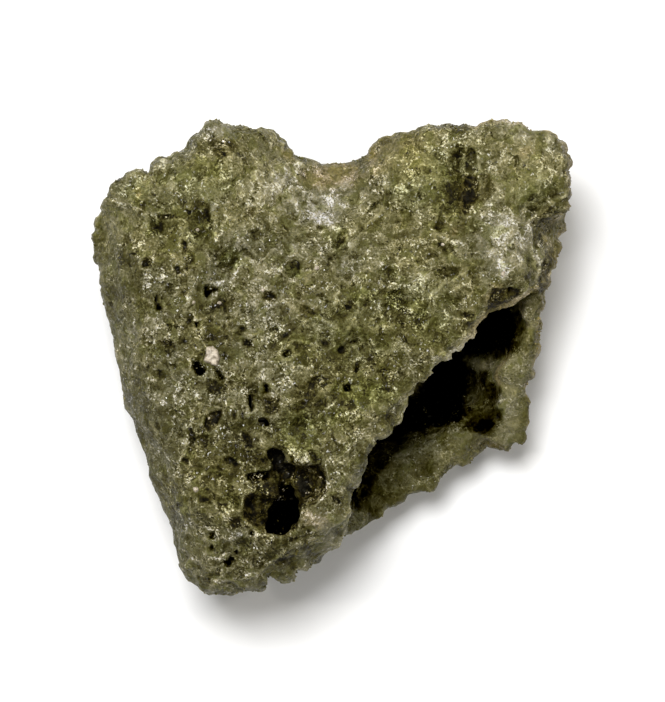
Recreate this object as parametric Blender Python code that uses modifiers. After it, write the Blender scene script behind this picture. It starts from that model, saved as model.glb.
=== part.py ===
"""Trinitite: a hollow, blister-like crust of green glass, broken open at one corner.

It is one piece of glass. A lid and a rounded lower shell are grown together all round, except at the
front right corner. There the lid is broken away and the hollow between the two shows.

The piece lies as it is seen from above: +X right, +Y to the back, +Z up, the lid on top. It is shaped in
millimetres, because modelling tools work badly on tiny meshes, and is scaled to metres as the last step.
The front is -Y.
"""

import math

import bmesh
import bpy
import numpy as np
from mathutils import Matrix, Vector, noise

# Sizes in millimetres
MM = 0.001
LID_TOP = 12.0
LID_UNDERSIDE = 9.9
SHELL_TOP = 10.4
HOLLOW_FLOOR = 2.7
SPARE = 2.0
GROWN = 0.15
COARSE_VOXEL = 0.42
FINE_VOXEL = 0.30
VUG_VOXEL = 0.15
TRIANGLES = 9400

# Outline of the lid, clockwise from the left, seen from above
BACK_EDGE = [
    (-12.9, 7.3), (-12.1, 9.1), (-11.1, 10.0), (-10.1, 9.7), (-9.2, 10.9), (-8.4, 10.9), (-7.0, 12.5),
    (-6.3, 12.9), (-5.4, 12.5), (-4.3, 12.6), (-3.3, 12.3), (-2.7, 11.8), (-2.2, 11.2), (-1.0, 10.8),
    (1.1, 10.7), (2.1, 11.2), (3.3, 11.9), (5.3, 12.4), (7.6, 12.5), (8.1, 12.3), (8.7, 12.7), (10.6, 12.6),
    (11.1, 12.0), (12.3, 12.1), (13.0, 11.1), (12.9, 10.4), (13.0, 8.5), (12.5, 6.6), (12.2, 5.6), (11.7, 3.7),
]
BROKEN_EDGE = [
    (11.3, 3.5), (9.7, 2.8), (8.4, 2.3), (7.8, 1.2), (6.8, 0.2), (5.6, -0.3), (5.2, -1.0), (4.5, -1.6),
    (4.0, -2.6), (3.4, -4.0), (2.9, -4.6), (2.4, -4.6), (1.8, -5.9), (1.5, -7.2), (1.1, -8.4),
]
FRONT_LIP = [(0.4, -9.0), (-1.8, -10.1), (-3.9, -11.3), (-4.4, -12.2)]
FRONT_TIP = [(-5.5, -12.9), (-6.4, -13.0), (-7.2, -12.8), (-7.9, -12.2)]
LEFT_FLANK = [
    (-8.7, -10.4), (-9.8, -7.0), (-10.8, -4.2), (-11.2, -3.4), (-11.6, -1.6), (-11.9, 0.6), (-12.7, 3.7),
    (-13.0, 5.9),
]

# Outline of the lower shell where it stands out past the lid
SHELL_RIGHT = [
    (11.7, 3.2), (11.5, 2.1), (11.6, 0.8), (11.1, -0.4), (10.9, -1.6), (11.2, -3.0), (11.3, -4.5), (10.8, -5.2),
]
SHELL_FRONT = [
    (9.4, -5.7), (8.1, -5.9), (6.2, -7.2), (5.8, -8.0), (4.6, -8.1), (3.4, -9.1), (2.5, -9.5), (0.7, -9.8),
]
SHELL_BAND = [(-0.3, -10.9), (-1.8, -11.6), (-2.4, -12.3), (-3.5, -12.2), (-4.2, -12.8)]

# Outline of the hollow: its mouth at the broken corner, then its wall under the lid
HOLLOW_MOUTH = [
    (10.9, 3.4), (10.9, 1.0), (10.3, -0.6), (10.0, -1.8), (10.1, -3.6), (8.6, -4.1), (7.4, -4.4), (5.6, -5.8),
    (4.0, -6.6), (2.6, -7.8), (1.4, -8.2),
]
HOLLOW_WALL = [
    (0.3, -5.9), (-0.8, -3.7), (-1.4, -0.8), (-1.1, 1.9), (0.2, 4.3), (2.1, 6.0), (4.8, 6.8), (7.7, 6.6),
    (9.9, 5.2),
]
HOLLOW_MIDDLE = (4.6, -0.6)
HOLLOW_SHRINK = 0.34
HOLLOW_FLOOR_RISE = 0.030

# The break takes everything above the shell's rim at the corner; the rim climbs to the lid at both ends
CORNER_OUTSIDE = [(0.2, -12.5), (8.0, -13.0), (15.5, -8.0), (15.5, 3.4)]
RIM_LOW = 4.2
RIM_CLIMB_RIGHT = (-6.0, 0.50)
RIM_CLIMB_LEFT = (2.6, 1.7)

# Lower side: a shallow bowl with a flat resting spot, its sides drawn in towards the spot
SPOT = (-0.2, 1.0)
SPOT_SINK = 0.42
SPOT_SNAP = 0.02
BOWL_CURVE = 0.026
DRAW_IN_BELOW = 6.5
DRAW_IN = 0.35

# Upper side: rounded edges, as radius and the edge that has it
LEFT_ROLL = 4.4
BACK_ROLL = 1.3
TIP_ROLL = 1.6
# Sloping faces, as start, end and fall per millimetre; each falls away on the left of start to end,
# and fades out past both ends
SLOPE_FADE = 1.2
SLOPES = [
    ((12.9, 9.0), (10.6, 7.2), 1.1),
    ((10.7, 7.2), (10.9, 3.4), 2.3),
    ((3.7, -1.9), (0.7, -6.8), 1.7),
    ((0.5, -8.7), (-4.6, -12.1), 2.1),
]
# Broad hollows and swellings, as x, y, reach in x, reach in y, height
SWELLS = [
    (-0.2, 11.3, 2.7, 2.9, -3.2),
    (-0.9, 7.8, 1.9, 1.3, -0.35),
    (-6.5, 9.8, 2.2, 1.8, 0.45),
    (4.6, 8.8, 2.0, 2.0, 0.40),
    (9.6, 6.0, 1.4, 1.6, 0.35),
    (-9.5, 7.4, 0.75, 0.60, -0.70),
    (-5.0, -10.8, 2.2, 1.6, -0.9),
    (7.8, 9.9, 0.42, 1.15, -1.25),
]

# Burst bubbles that open on the lid, as x, y, half width, half length, depth
VUGS = [
    (-2.97, -5.56, 0.55, 0.68, 2.1),
    (-2.60, -6.50, 0.52, 0.62, 2.2),
    (-1.40, -6.90, 0.95, 0.85, 1.4),
    (-2.40, -7.90, 0.55, 0.72, 2.4),
    (-2.62, -8.70, 0.75, 0.72, 2.5),
    (-3.10, -9.35, 0.52, 0.46, 2.2),
    (-3.90, -6.62, 0.68, 0.42, 0.8),
    (-3.85, -8.30, 0.66, 0.64, 0.9),
]
# Small pits on the lid, as x, y, radius, depth
PITS = [
    (0.70, 0.55, 0.34, 0.70), (1.27, 0.85, 0.26, 0.50), (1.20, -0.44, 0.30, 0.70), (0.83, -1.60, 0.32, 0.70),
    (2.80, -1.50, 0.50, 0.45), (-6.70, 3.85, 0.42, 0.70), (-8.10, 6.20, 0.32, 0.60), (-8.05, 5.40, 0.30, 0.60),
    (-9.30, 4.10, 0.40, 0.50), (-4.50, -2.40, 0.30, 0.80), (-3.70, -2.40, 0.50, 0.45), (-6.70, -3.20, 0.45, 0.60),
    (-7.00, -0.80, 0.52, 0.65), (0.45, 6.60, 0.32, 0.50), (3.50, 3.10, 0.60, 0.55), (-5.10, 1.50, 0.40, 0.45),
    (-2.60, 0.40, 0.40, 0.45), (-6.55, 11.7, 0.60, 0.55), (7.70, 6.30, 0.50, 0.40), (-7.6, -10.2, 0.40, 0.50),
]

# Lumps all over, slow swells of the lid and lumps on the hollow's wall, as size and how far they stand out
LUMPS = [(2.3, 0.58), (1.2, 0.42)]
WAVES = (6.5, 0.45)
WALL_LUMPS = (2.3, 1.0)
# Open bubbles scattered over the whole skin, as how many, smallest and largest radius, depth per radius
SKIN_PITS = (150, 0.28, 0.64, 1.27)
PIT_SEED = 7
PIT_FREE_BELOW = 0.8

# Olive green glass with a dull, sandy skin, as linear colour
GLASS_COLOUR = (0.127, 0.130, 0.055, 1)
GLASS_ROUGHNESS = 0.55

PART = bpy.data.collections.new("trinitite")
CUTTERS = bpy.data.collections.new("cutters")


def clear_scene():
    """Remove what the file opened with, and add the two collections."""
    for thing in list(bpy.data.objects):
        bpy.data.objects.remove(thing)
    bpy.context.scene.collection.children.link(PART)
    bpy.context.scene.collection.children.link(CUTTERS)


def evaluated_mesh(thing):
    """The mesh that an object shows with its modifiers."""
    bpy.context.view_layer.update()
    graph = bpy.context.evaluated_depsgraph_get()
    return bpy.data.meshes.new_from_object(thing.evaluated_get(graph))


def bake(thing):
    """Make an object's modifiers part of its mesh."""
    old = thing.data
    thing.data = evaluated_mesh(thing)
    thing.modifiers.clear()
    bpy.data.meshes.remove(old)


def plate(name, outline, low, high, collection, grown=0):
    """A closed slab between two heights, with a smooth curve through the outline's points."""
    curve = bpy.data.curves.new(name, "CURVE")
    curve.dimensions = "2D"
    curve.fill_mode = "BOTH"
    curve.extrude = (high - low) / 2
    curve.resolution_u = 4
    curve.offset = grown
    spline = curve.splines.new("BEZIER")
    spline.bezier_points.add(len(outline) - 1)
    spline.use_cyclic_u = True
    for point, (x, y) in zip(spline.bezier_points, outline):
        point.co = (x, y, 0)
        point.handle_left_type = "AUTO"
        point.handle_right_type = "AUTO"
    drawn = bpy.data.objects.new(name, curve)
    drawn.location.z = (low + high) / 2
    collection.objects.link(drawn)
    mesh = evaluated_mesh(drawn)
    mesh.transform(drawn.matrix_world)
    bpy.data.objects.remove(drawn)
    bm = bmesh.new()
    bm.from_mesh(mesh)
    bmesh.ops.remove_doubles(bm, verts=bm.verts, dist=0.0001)
    bmesh.ops.recalc_face_normals(bm, faces=bm.faces)
    bm.to_mesh(mesh)
    bm.free()
    slab = bpy.data.objects.new(name, mesh)
    collection.objects.link(slab)
    return slab


def remesh(thing, voxel):
    """Give an object an even mesh, with overlapping shapes grown together."""
    even = thing.modifiers.new("even", "REMESH")
    even.mode = "VOXEL"
    even.voxel_size = voxel
    bake(thing)


def combine(thing, other, operation):
    """Boolean one object with another, which becomes a hidden cutter."""
    joint = thing.modifiers.new("joint", "BOOLEAN")
    joint.operation = operation
    joint.solver = "EXACT"
    joint.object = other
    bake(thing)
    other.hide_render = True
    other.display_type = "WIRE"


def places(thing):
    """An object's points, one row each."""
    flat = np.empty(len(thing.data.vertices) * 3)
    thing.data.vertices.foreach_get("co", flat)
    return flat.reshape(-1, 3)


def normals(thing):
    """The direction out of the surface at each point."""
    flat = np.empty(len(thing.data.vertices) * 3)
    thing.data.vertices.foreach_get("normal", flat)
    return flat.reshape(-1, 3)


def set_places(thing, spots):
    """Put an object's points at new places."""
    thing.data.vertices.foreach_set("co", spots.ravel())
    thing.data.update()


def distance_to_line(x, y, line):
    """How far points are from a line drawn through a list of places."""
    nearest = np.full(x.shape, np.inf)
    for (ax, ay), (bx, by) in zip(line, line[1:]):
        length = (bx - ax) ** 2 + (by - ay) ** 2
        along = np.clip(((x - ax) * (bx - ax) + (y - ay) * (by - ay)) / length, 0, 1)
        away = np.hypot(x - ax - along * (bx - ax), y - ay - along * (by - ay))
        nearest = np.minimum(nearest, away)
    return nearest


def rolled(distance, radius):
    """How far a rounded edge has fallen at a distance from it."""
    inward = np.clip(distance, 0, radius)
    return radius - np.sqrt(radius**2 - (radius - inward) ** 2)


def sloped(x, y, start, end, fall):
    """How far a sloping face has fallen, fading out past the two ends of its top edge."""
    across = math.dist(start, end)
    dx = (end[0] - start[0]) / across
    dy = (end[1] - start[1]) / across
    along = (x - start[0]) * dx + (y - start[1]) * dy
    past = np.maximum(-along, along - across)
    beyond = (y - start[1]) * dx - (x - start[0]) * dy
    return np.clip(1 - past / SLOPE_FADE, 0, 1) * fall * np.maximum(beyond, 0)


def waves(spots, size, height):
    """Slow swells all over, the same each time."""
    return np.array([height * noise.noise(Vector(spot) / size) for spot in spots])


def upper_side(x, y):
    """Height of the stone's upper side."""
    height = np.full(x.shape, LID_TOP)
    for cx, cy, reach_x, reach_y, rise in SWELLS:
        height += rise * np.exp(-(((x - cx) / reach_x) ** 2 + ((y - cy) / reach_y) ** 2) / 2)
    fall = rolled(distance_to_line(x, y, [*FRONT_TIP[1:], *LEFT_FLANK, BACK_EDGE[0]]), LEFT_ROLL)
    fall = np.maximum(fall, rolled(distance_to_line(x, y, BACK_EDGE), BACK_ROLL))
    fall = np.maximum(fall, rolled(distance_to_line(x, y, FRONT_TIP), TIP_ROLL))
    for start, end, steepness in SLOPES:
        fall = np.maximum(fall, sloped(x, y, start, end, steepness))
    return height - fall


def lower_side(x, y):
    """Height of the stone's lower side."""
    return BOWL_CURVE * ((x - SPOT[0]) ** 2 + (y - SPOT[1]) ** 2) - SPOT_SINK


def make_crust():
    """Lid and lower shell as one solid, trimmed to the upper and lower sides."""
    rim = [*SHELL_RIGHT, *SHELL_FRONT, *SHELL_BAND]
    crust = plate("trinitite", [*BACK_EDGE, *rim, *FRONT_TIP, *LEFT_FLANK], -SPARE, SHELL_TOP, PART, GROWN)
    lid = plate("lid", [*BACK_EDGE, *BROKEN_EDGE, *FRONT_LIP, *FRONT_TIP, *LEFT_FLANK],
                SHELL_TOP - SPARE, LID_TOP + SPARE, CUTTERS, GROWN)
    combine(crust, lid, "UNION")
    remesh(crust, COARSE_VOXEL)
    spots = places(crust)
    x, y, z = spots.T
    drawn = 1 - DRAW_IN * np.clip(1 - z / DRAW_IN_BELOW, 0, 1) ** 2
    x = SPOT[0] + (x - SPOT[0]) * drawn
    y = SPOT[1] + (y - SPOT[1]) * drawn
    z = np.clip(z, lower_side(x, y), upper_side(x, y) + waves(spots, *WAVES))
    set_places(crust, np.column_stack([x, y, z]))
    remesh(crust, FINE_VOXEL)
    return crust


def cut_hollow(crust):
    """The bubble between lid and shell: a bowl with lumpy walls under a flat roof."""
    hollow = plate("hollow", [*HOLLOW_MOUTH, *HOLLOW_WALL], HOLLOW_FLOOR, LID_UNDERSIDE, CUTTERS)
    remesh(hollow, COARSE_VOXEL)
    spots = places(hollow)
    x, y, z = spots.T
    depth = np.clip((LID_UNDERSIDE - z) / (LID_UNDERSIDE - HOLLOW_FLOOR), 0, 1)
    x = HOLLOW_MIDDLE[0] + (x - HOLLOW_MIDDLE[0]) * (1 - HOLLOW_SHRINK * depth**2)
    y = HOLLOW_MIDDLE[1] + (y - HOLLOW_MIDDLE[1]) * (1 - HOLLOW_SHRINK * depth**2)
    away = (x - HOLLOW_MIDDLE[0]) ** 2 + (y - HOLLOW_MIDDLE[1]) ** 2
    z = z + HOLLOW_FLOOR_RISE * away * depth
    set_places(hollow, np.column_stack([x, y, z]))
    size, height = WALL_LUMPS
    set_places(hollow, places(hollow) - normals(hollow) * lumps(places(hollow), size, height)[:, None])
    combine(crust, hollow, "DIFFERENCE")


def cut_corner(crust):
    """The break that took the lid off the corner, down to the rim of the shell."""
    corner = plate("corner", [*BROKEN_EDGE, *CORNER_OUTSIDE], 0, LID_TOP + SPARE, CUTTERS)
    remesh(corner, COARSE_VOXEL)
    spots = places(corner)
    x, y, z = spots.T
    right = RIM_CLIMB_RIGHT[1] * np.maximum(y - RIM_CLIMB_RIGHT[0], 0)
    left = RIM_CLIMB_LEFT[1] * np.maximum(RIM_CLIMB_LEFT[0] - x, 0)
    rim = RIM_LOW + right + left
    z = np.maximum(z, np.minimum(rim, LID_TOP))
    set_places(corner, np.column_stack([x, y, z]))
    combine(crust, corner, "DIFFERENCE")


def lumps(spots, size, height):
    """How far rounded lumps of a size stand out, highest in the middle of each."""
    out = np.empty(len(spots))
    for row, spot in enumerate(spots):
        nearest = noise.voronoi(Vector(spot) / size)[0][0]
        out[row] = height * (0.5 - nearest)
    return out


def roughen(crust):
    """Lumps over the whole surface, and the small pits of the lid."""
    spots = places(crust)
    out = normals(crust)
    rise = sum(lumps(spots, size, height) for size, height in LUMPS)
    top = np.clip(spots[:, 2] - LID_UNDERSIDE, 0, 1) * np.clip(out[:, 2], 0, 1)
    for x, y, radius, depth in PITS:
        away = np.hypot(spots[:, 0] - x, spots[:, 1] - y)
        rise -= depth * np.exp(-((away / radius) ** 2)) * top
    count, smallest, largest, deep = SKIN_PITS
    chance = np.random.default_rng(PIT_SEED)
    for middle in spots[chance.choice(len(spots), count, replace=False)]:
        if middle[2] < PIT_FREE_BELOW:
            continue
        radius = chance.uniform(smallest, largest)
        away = np.linalg.norm(spots - middle, axis=1)
        rise -= deep * radius * np.exp(-((away / radius) ** 2))
    set_places(crust, spots + out * rise[:, None])


def soften(crust):
    """Take the thin spikes off edges where lumps have crossed."""
    gentle = crust.modifiers.new("gentle", "SMOOTH")
    gentle.factor = 0.5
    gentle.iterations = 2
    bake(crust)


def cut_vugs(crust):
    """Burst bubbles that run together into a dark cross near the front of the lid."""
    bm = bmesh.new()
    for x, y, half_width, half_length, depth in VUGS:
        surface = upper_side(np.array([x]), np.array([y]))[0]
        shape = Matrix.Translation((x, y, surface)) @ Matrix.Diagonal((half_width, half_length, depth, 1))
        bmesh.ops.create_icosphere(bm, subdivisions=3, radius=1, matrix=shape)
    mesh = bpy.data.meshes.new("vugs")
    bm.to_mesh(mesh)
    bm.free()
    vugs = bpy.data.objects.new("vugs", mesh)
    CUTTERS.objects.link(vugs)
    remesh(vugs, VUG_VOXEL)
    combine(crust, vugs, "DIFFERENCE")


def drop_specks(crust):
    """Keep the one big body, without the loose crumbs that cutting leaves."""
    bm = bmesh.new()
    bm.from_mesh(crust.data)
    bm.verts.ensure_lookup_table()
    body = set()
    edge = [max(bm.verts, key=lambda vert: vert.co.x)]
    while edge:
        vert = edge.pop()
        if vert not in body:
            body.add(vert)
            edge.extend(link.other_vert(vert) for link in vert.link_edges)
    bmesh.ops.delete(bm, geom=[vert for vert in bm.verts if vert not in body], context="VERTS")
    bm.to_mesh(crust.data)
    bm.free()


def thin(crust):
    """Bring the mesh down to its number of triangles."""
    crust.data.calc_loop_triangles()
    fewer = crust.modifiers.new("fewer", "DECIMATE")
    fewer.ratio = TRIANGLES / len(crust.data.loop_triangles)
    fewer.use_collapse_triangulate = True
    bake(crust)


def flatten_spot(crust):
    """Press the resting spot flat at height zero."""
    spots = places(crust)
    spots[:, 2] = np.where(spots[:, 2] < SPOT_SNAP, 0, spots[:, 2])
    set_places(crust, spots)


def to_metres(crust):
    """Scale the finished stone from millimetres to metres."""
    crust.data.transform(Matrix.Scale(MM, 4))


def glass():
    """The one material of the stone."""
    material = bpy.data.materials.new("trinitite_glass")
    material.use_nodes = True
    shader = material.node_tree.nodes["Principled BSDF"]
    shader.inputs["Base Color"].default_value = GLASS_COLOUR
    shader.inputs["Roughness"].default_value = GLASS_ROUGHNESS
    shader.inputs["Metallic"].default_value = 0.0
    return material


def main():
    clear_scene()
    crust = make_crust()
    cut_hollow(crust)
    cut_corner(crust)
    remesh(crust, FINE_VOXEL)
    roughen(crust)
    remesh(crust, FINE_VOXEL)
    soften(crust)
    cut_vugs(crust)
    remesh(crust, FINE_VOXEL)
    drop_specks(crust)
    flatten_spot(crust)
    thin(crust)
    flatten_spot(crust)
    to_metres(crust)
    crust.data.materials.clear()
    crust.data.materials.append(glass())
    crust.data.shade_smooth()


main()
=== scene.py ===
"""A hollow piece of olive-green trinitite, the glass that desert sand melts to, on a pale table."""

import math

import bpy
import numpy as np
from mathutils import Matrix, Vector, noise


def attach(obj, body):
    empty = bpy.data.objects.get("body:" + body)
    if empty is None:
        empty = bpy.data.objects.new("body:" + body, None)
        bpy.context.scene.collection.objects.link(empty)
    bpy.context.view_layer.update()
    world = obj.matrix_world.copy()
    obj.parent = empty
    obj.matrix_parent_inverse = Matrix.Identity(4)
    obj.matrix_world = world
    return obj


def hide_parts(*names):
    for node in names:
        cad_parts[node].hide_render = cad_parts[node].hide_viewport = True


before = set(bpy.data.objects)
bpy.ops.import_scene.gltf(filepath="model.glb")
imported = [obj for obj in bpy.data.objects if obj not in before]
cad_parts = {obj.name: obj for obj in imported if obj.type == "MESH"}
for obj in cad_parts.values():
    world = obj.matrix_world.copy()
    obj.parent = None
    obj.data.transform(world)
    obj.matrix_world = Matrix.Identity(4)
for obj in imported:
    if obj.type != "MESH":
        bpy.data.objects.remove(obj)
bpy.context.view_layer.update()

# The glass crust

# The whole piece is one crust of melted sand: a lid over a hollow, with one corner of the lid broken away.
# It cooled full of gas, so its skin is burst bubbles with thin rims, and its glass is granular where grains
# did not quite melt. It is shaped in millimetres, from the part's own form, and brought to metres at the
# end.

TO_MM = 1000.0
WELD = 0.0005
SKIN_MESH = 0.24  # half of this on the lid, where the finest shapes show
LID_FROM_HEIGHT = 8.6
LID_FACING_UP = -0.15
LID_HEIGHT = 12.0
VIEW_FROM = 300.0  # how far over the lid the piece is seen from
HOLLOW = (4.5, -0.5, 8.2, 9.0)  # an oval round the hollow: middle and half widths
HOLLOW_MIDDLE = (3.0, -1.0)
HOLLOW_CEILING = 9.9

# What shows on the skin, each where it is seen from over the lid, in millimetres. An oval is its middle,
# half widths and turn in degrees, then its strength. A burst bubble has the darkness of its glass and its
# depth there; a hole has the darkness of the shade painted into it and its depth.
BURST_BUBBLES = (
    (-7.06, 6.24, 0.55, 0.39, 0, 0.55, 0.12), (-11.31, 6.57, 0.17, 0.49, 0, 0.45, 0.08),
    (6.29, 8.06, 0.28, 0.28, 0, 0.55, 0.12), (6.73, 7.01, 0.22, 0.28, 0, 0.4, 0.05),
    (9.44, 8.28, 0.44, 0.28, 0, 0.5, 0.1), (5.41, 2.04, 1.04, 0.94, -20, 0.25, 0.2),
    (7.5, 1.6, 0.39, 0.39, 0, 0.7, 0.15), (6.29, 0.66, 0.66, 0.28, -25, 0.5, 0.1),
    (-9.93, 1.16, 0.28, 0.39, 0, 0.5, 0.1), (-1.77, 0.66, 0.28, 0.22, 0, 0.6, 0.1),
    (-4.14, -0.83, 0.28, 0.28, 0, 0.65, 0.12), (-5.63, -7.95, 0.55, 0.6, 0, 0.3, 0.2),
    (-0.55, -2.48, 0.33, 0.28, 0, 0.65, 0.1), (-1.77, -3.75, 0.49, 0.39, 0, 0.55, 0.1),
    (-1.16, -10.82, 0.49, 0.28, -15, 0.55, 0.05), (-2.48, -11.31, 0.49, 0.28, -20, 0.6, 0.08),
    (-3.86, -12.31, 0.28, 0.22, 0, 0.75, 0.1), (-7.01, -12.2, 0.44, 0.22, -10, 0.75, 0.12),
    (0.72, -8.17, 0.49, 0.49, 0, 0.3, 0.1), (-5.63, 1.49, 0.22, 0.22, 0, 0.4, 0.05),
    (-11.81, 3.7, 0.28, 0.77, 10, 0.35, 0.05), (-10.6, -6.24, 0.33, 0.49, -20, 0.2, 0.05),
    (-8.61, -8.99, 0.28, 0.66, -20, 0.35, 0.05), (-7.01, -4.58, 0.28, 0.49, 0, 0.4, 0.08),
    (0.72, -3.48, 0.44, 0.28, 0, 0.3, 0.05), (4.86, 5.9, 0.66, 0.44, 0, 0.2, 0.08),
    (3.97, 9.99, 0.55, 0.44, 0, 0.25, 0.08),
)
HOLES = (
    (-4.8, -1.43, 0.11, 0.11, 0, 0.8, 0.15), (-3.86, -3.53, 0.17, 0.17, 0, 0.9, 0.2),
    (-5.35, -10.6, 0.17, 0.11, 0, 0.6, 0.1), (-5.79, -11.26, 0.28, 0.17, -20, 0.8, 0.2),
    (-2.15, -5.68, 0.17, 0.17, 0, 0.7, 0.1),
)
# Frosted, pale crystals.
FROSTED = (
    (9.33, 4.8, 0.33, 0.66, -10, 0.9), (8.83, 5.63, 0.39, 0.39, 0, 0.6), (10.48, 6.13, 0.39, 0.28, 0, 0.6),
    (9.6, 7.39, 0.77, 0.22, 28, 0.55), (10.26, 5.24, 0.49, 0.55, 0, 0.35),
    (11.2, 5.24, 0.22, 0.6, -8, 0.55), (-0.61, 7.56, 0.55, 0.39, 0, 0.5),
    (-1.16, 8.22, 0.28, 0.22, 0, 0.55), (-2.32, 8.66, 0.49, 0.22, -15, 0.6),
    (-4.36, 10.04, 0.33, 0.28, 0, 0.55), (-2.15, 5.96, 0.33, 0.22, 0, 0.6),
    (0.17, 8.39, 0.66, 0.44, 0, 0.3), (-6.07, 12.36, 0.77, 0.33, 0, 0.45),
    (-5.85, 11.59, 0.22, 0.22, 0, 0.7), (-6.57, 8, 0.22, 0.33, 0, 0.95), (-8.5, 8.11, 0.28, 0.17, 30, 0.75),
    (-5.74, 7.06, 0.39, 0.22, -20, 0.6), (-9.11, 10.43, 0.28, 0.28, 0, 0.6),
    (-8.94, 9.27, 0.33, 0.39, 0, 0.4), (0.44, 3.31, 0.22, 0.77, -12, 0.5),
    (0.61, 4.19, 0.66, 0.22, 0, 0.45), (1.32, 1.77, 0.44, 0.17, -25, 0.55),
    (0.33, 2.48, 0.13, 0.44, 42, 0.7), (-0.88, 1.66, 0.44, 0.17, 20, 0.5), (0.99, 4.69, 0.77, 0.6, 0, 0.2),
    (-3.81, 4.75, 0.88, 0.66, 0, 0.3), (-3.7, 3.81, 0.19, 0.14, 0, 0.9), (-5.02, 0.28, 0.55, 0.55, 0, 0.35),
    (-5.08, -0.39, 0.49, 0.44, 0, 0.35), (-5.9, -0.99, 0.17, 0.33, 30, 0.8),
    (-6.62, 3.7, 0.13, 0.09, 0, 0.9), (-7.56, 2.04, 0.28, 0.08, 0, 1), (-10.71, 1.49, 0.33, 0.39, 0, 0.4),
    (-8, 2.54, 0.33, 0.33, 0, 0.3), (-8.94, 1.99, 0.28, 0.22, 0, 0.35), (0.17, -2.65, 0.17, 0.33, 20, 0.6),
    (2.15, -2.26, 0.33, 0.28, 0, 0.5), (-2.43, -2.37, 0.49, 0.33, 0, 0.4),
    (-1.77, -0.66, 1.1, 0.09, 0, 0.45), (5.13, 4.41, 0.44, 0.28, 20, 0.6),
    (3.59, 5.24, 0.13, 0.33, 20, 0.8), (3.92, 7.84, 0.22, 0.28, 0, 0.5), (3.75, 6.95, 0.17, 0.17, 0, 0.6),
    (4.36, 2.48, 0.22, 0.55, 0, 0.4), (3.2, 1.93, 0.28, 0.28, 0, 0.45), (6.51, 5.46, 0.49, 0.17, 0, 0.35),
    (-3.81, -4.41, 0.44, 0.28, -25, 0.5), (-3.53, -4.86, 0.22, 0.33, -30, 0.7),
    (-4.08, -4.14, 0.49, 0.17, -20, 0.5), (-3.81, -9.66, 0.22, 0.17, 0, 0.8),
    (-2.65, -9.71, 0.22, 0.17, 20, 0.6), (-3.26, -8.06, 0.44, 0.11, 10, 0.5),
    (-5.9, -3.42, 0.33, 0.55, 0, 0.35), (-5.74, -6.24, 0.44, 0.33, -10, 0.35),
    (-5.68, -8.55, 0.6, 0.1, 0, 0.55), (-6.35, -12.14, 0.28, 0.13, 0, 0.6),
    (-4.53, -11.75, 0.28, 0.28, 0, 0.45), (-1.32, -10.21, 0.49, 0.1, 28, 0.55),
    (-0.11, -8.77, 0.28, 0.28, 0, 0.35), (-1.21, -8.55, 0.55, 0.39, 0, 0.3),
    (-0.77, -9.11, 0.77, 0.66, 0, 0.25), (-7.5, -7.34, 0.28, 0.19, 0, 0.5),
    (-7.95, -6.9, 0.28, 0.11, -30, 0.4), (-7.84, -8.17, 0.22, 0.44, 35, 0.3),
    (0.99, -6.79, 0.28, 0.55, -25, 0.35), (-1.77, -6.24, 0.22, 0.22, 0, 0.5),
    (-2.32, -6.62, 0.17, 0.22, 0, 0.4), (10.1, 12.53, 0.88, 0.33, 0, 0.35),
    (10.37, 12.03, 0.66, 0.17, 0, 0.4), (8.99, 12.31, 0.55, 0.28, 0, 0.3),
    (2.37, 10.87, 0.33, 0.66, -15, 0.2), (0.72, 9.49, 0.66, 0.44, 0, 0.25),
    (1.82, 8.83, 0.44, 0.28, 30, 0.4), (1.55, 8.11, 0.66, 0.33, 40, 0.3),
    (6.51, 11.42, 0.66, 0.44, 0, 0.25), (5.41, 11.7, 0.44, 0.33, 0, 0.2), (2.65, 6.73, 0.44, 0.44, 0, 0.2),
    (7.28, 9.77, 0.09, 1.21, 8, 0.6), (7.39, 11.31, 0.09, 0.55, 14, 0.5),
    (12.58, 9.77, 0.17, 0.66, 0, 0.35), (11.92, 11.97, 0.44, 0.33, 0, 0.25),
    (4.03, 3.15, 0.13, 0.11, 0, 0.5), (-5.35, 5.9, 0.39, 0.09, 20, 0.5), (1.16, 6.9, 0.09, 0.49, -18, 0.5),
    (-0.11, -0.44, 0.22, 0.17, 0, 0.4), (2.37, 0.11, 0.11, 0.44, -30, 0.4),
    (-4.53, 5.24, 0.55, 0.33, 0, 0.3),
)
# Where the glass is browner, greyer or greener, as ovals with no turn.
TAN_PLACES = (
    (3.74, 11.1, 2.3, 2, 0.5), (8.42, -2.37, 1.6, 2.5, 0.5), (0.17, 9.99, 2.42, 1.1, 1),
    (2.21, 10.87, 0.49, 0.99, 0.9), (-2.32, 11.31, 0.44, 0.77, 0.6), (8.88, 3.81, 0.44, 0.44, 0.7),
    (-10.71, 9.05, 0.28, 0.33, 1), (3.97, 9.99, 0.66, 0.55, 0.4), (6.68, 6.95, 0.28, 0.28, 0.8),
    (8.72, 3.15, 0.77, 0.66, 0.6), (10.65, 11.15, 0.55, 0.44, 0.6), (-1.21, 2.48, 0.55, 0.49, 0.3),
    (-3.42, -8.99, 0.88, 0.66, 0.5), (-0.94, -8.99, 0.99, 0.77, 0.6), (-3.53, -2.48, 0.55, 0.77, 0.4),
    (-0.11, 10.6, 1.65, 0.44, 0.5),
)
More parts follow.
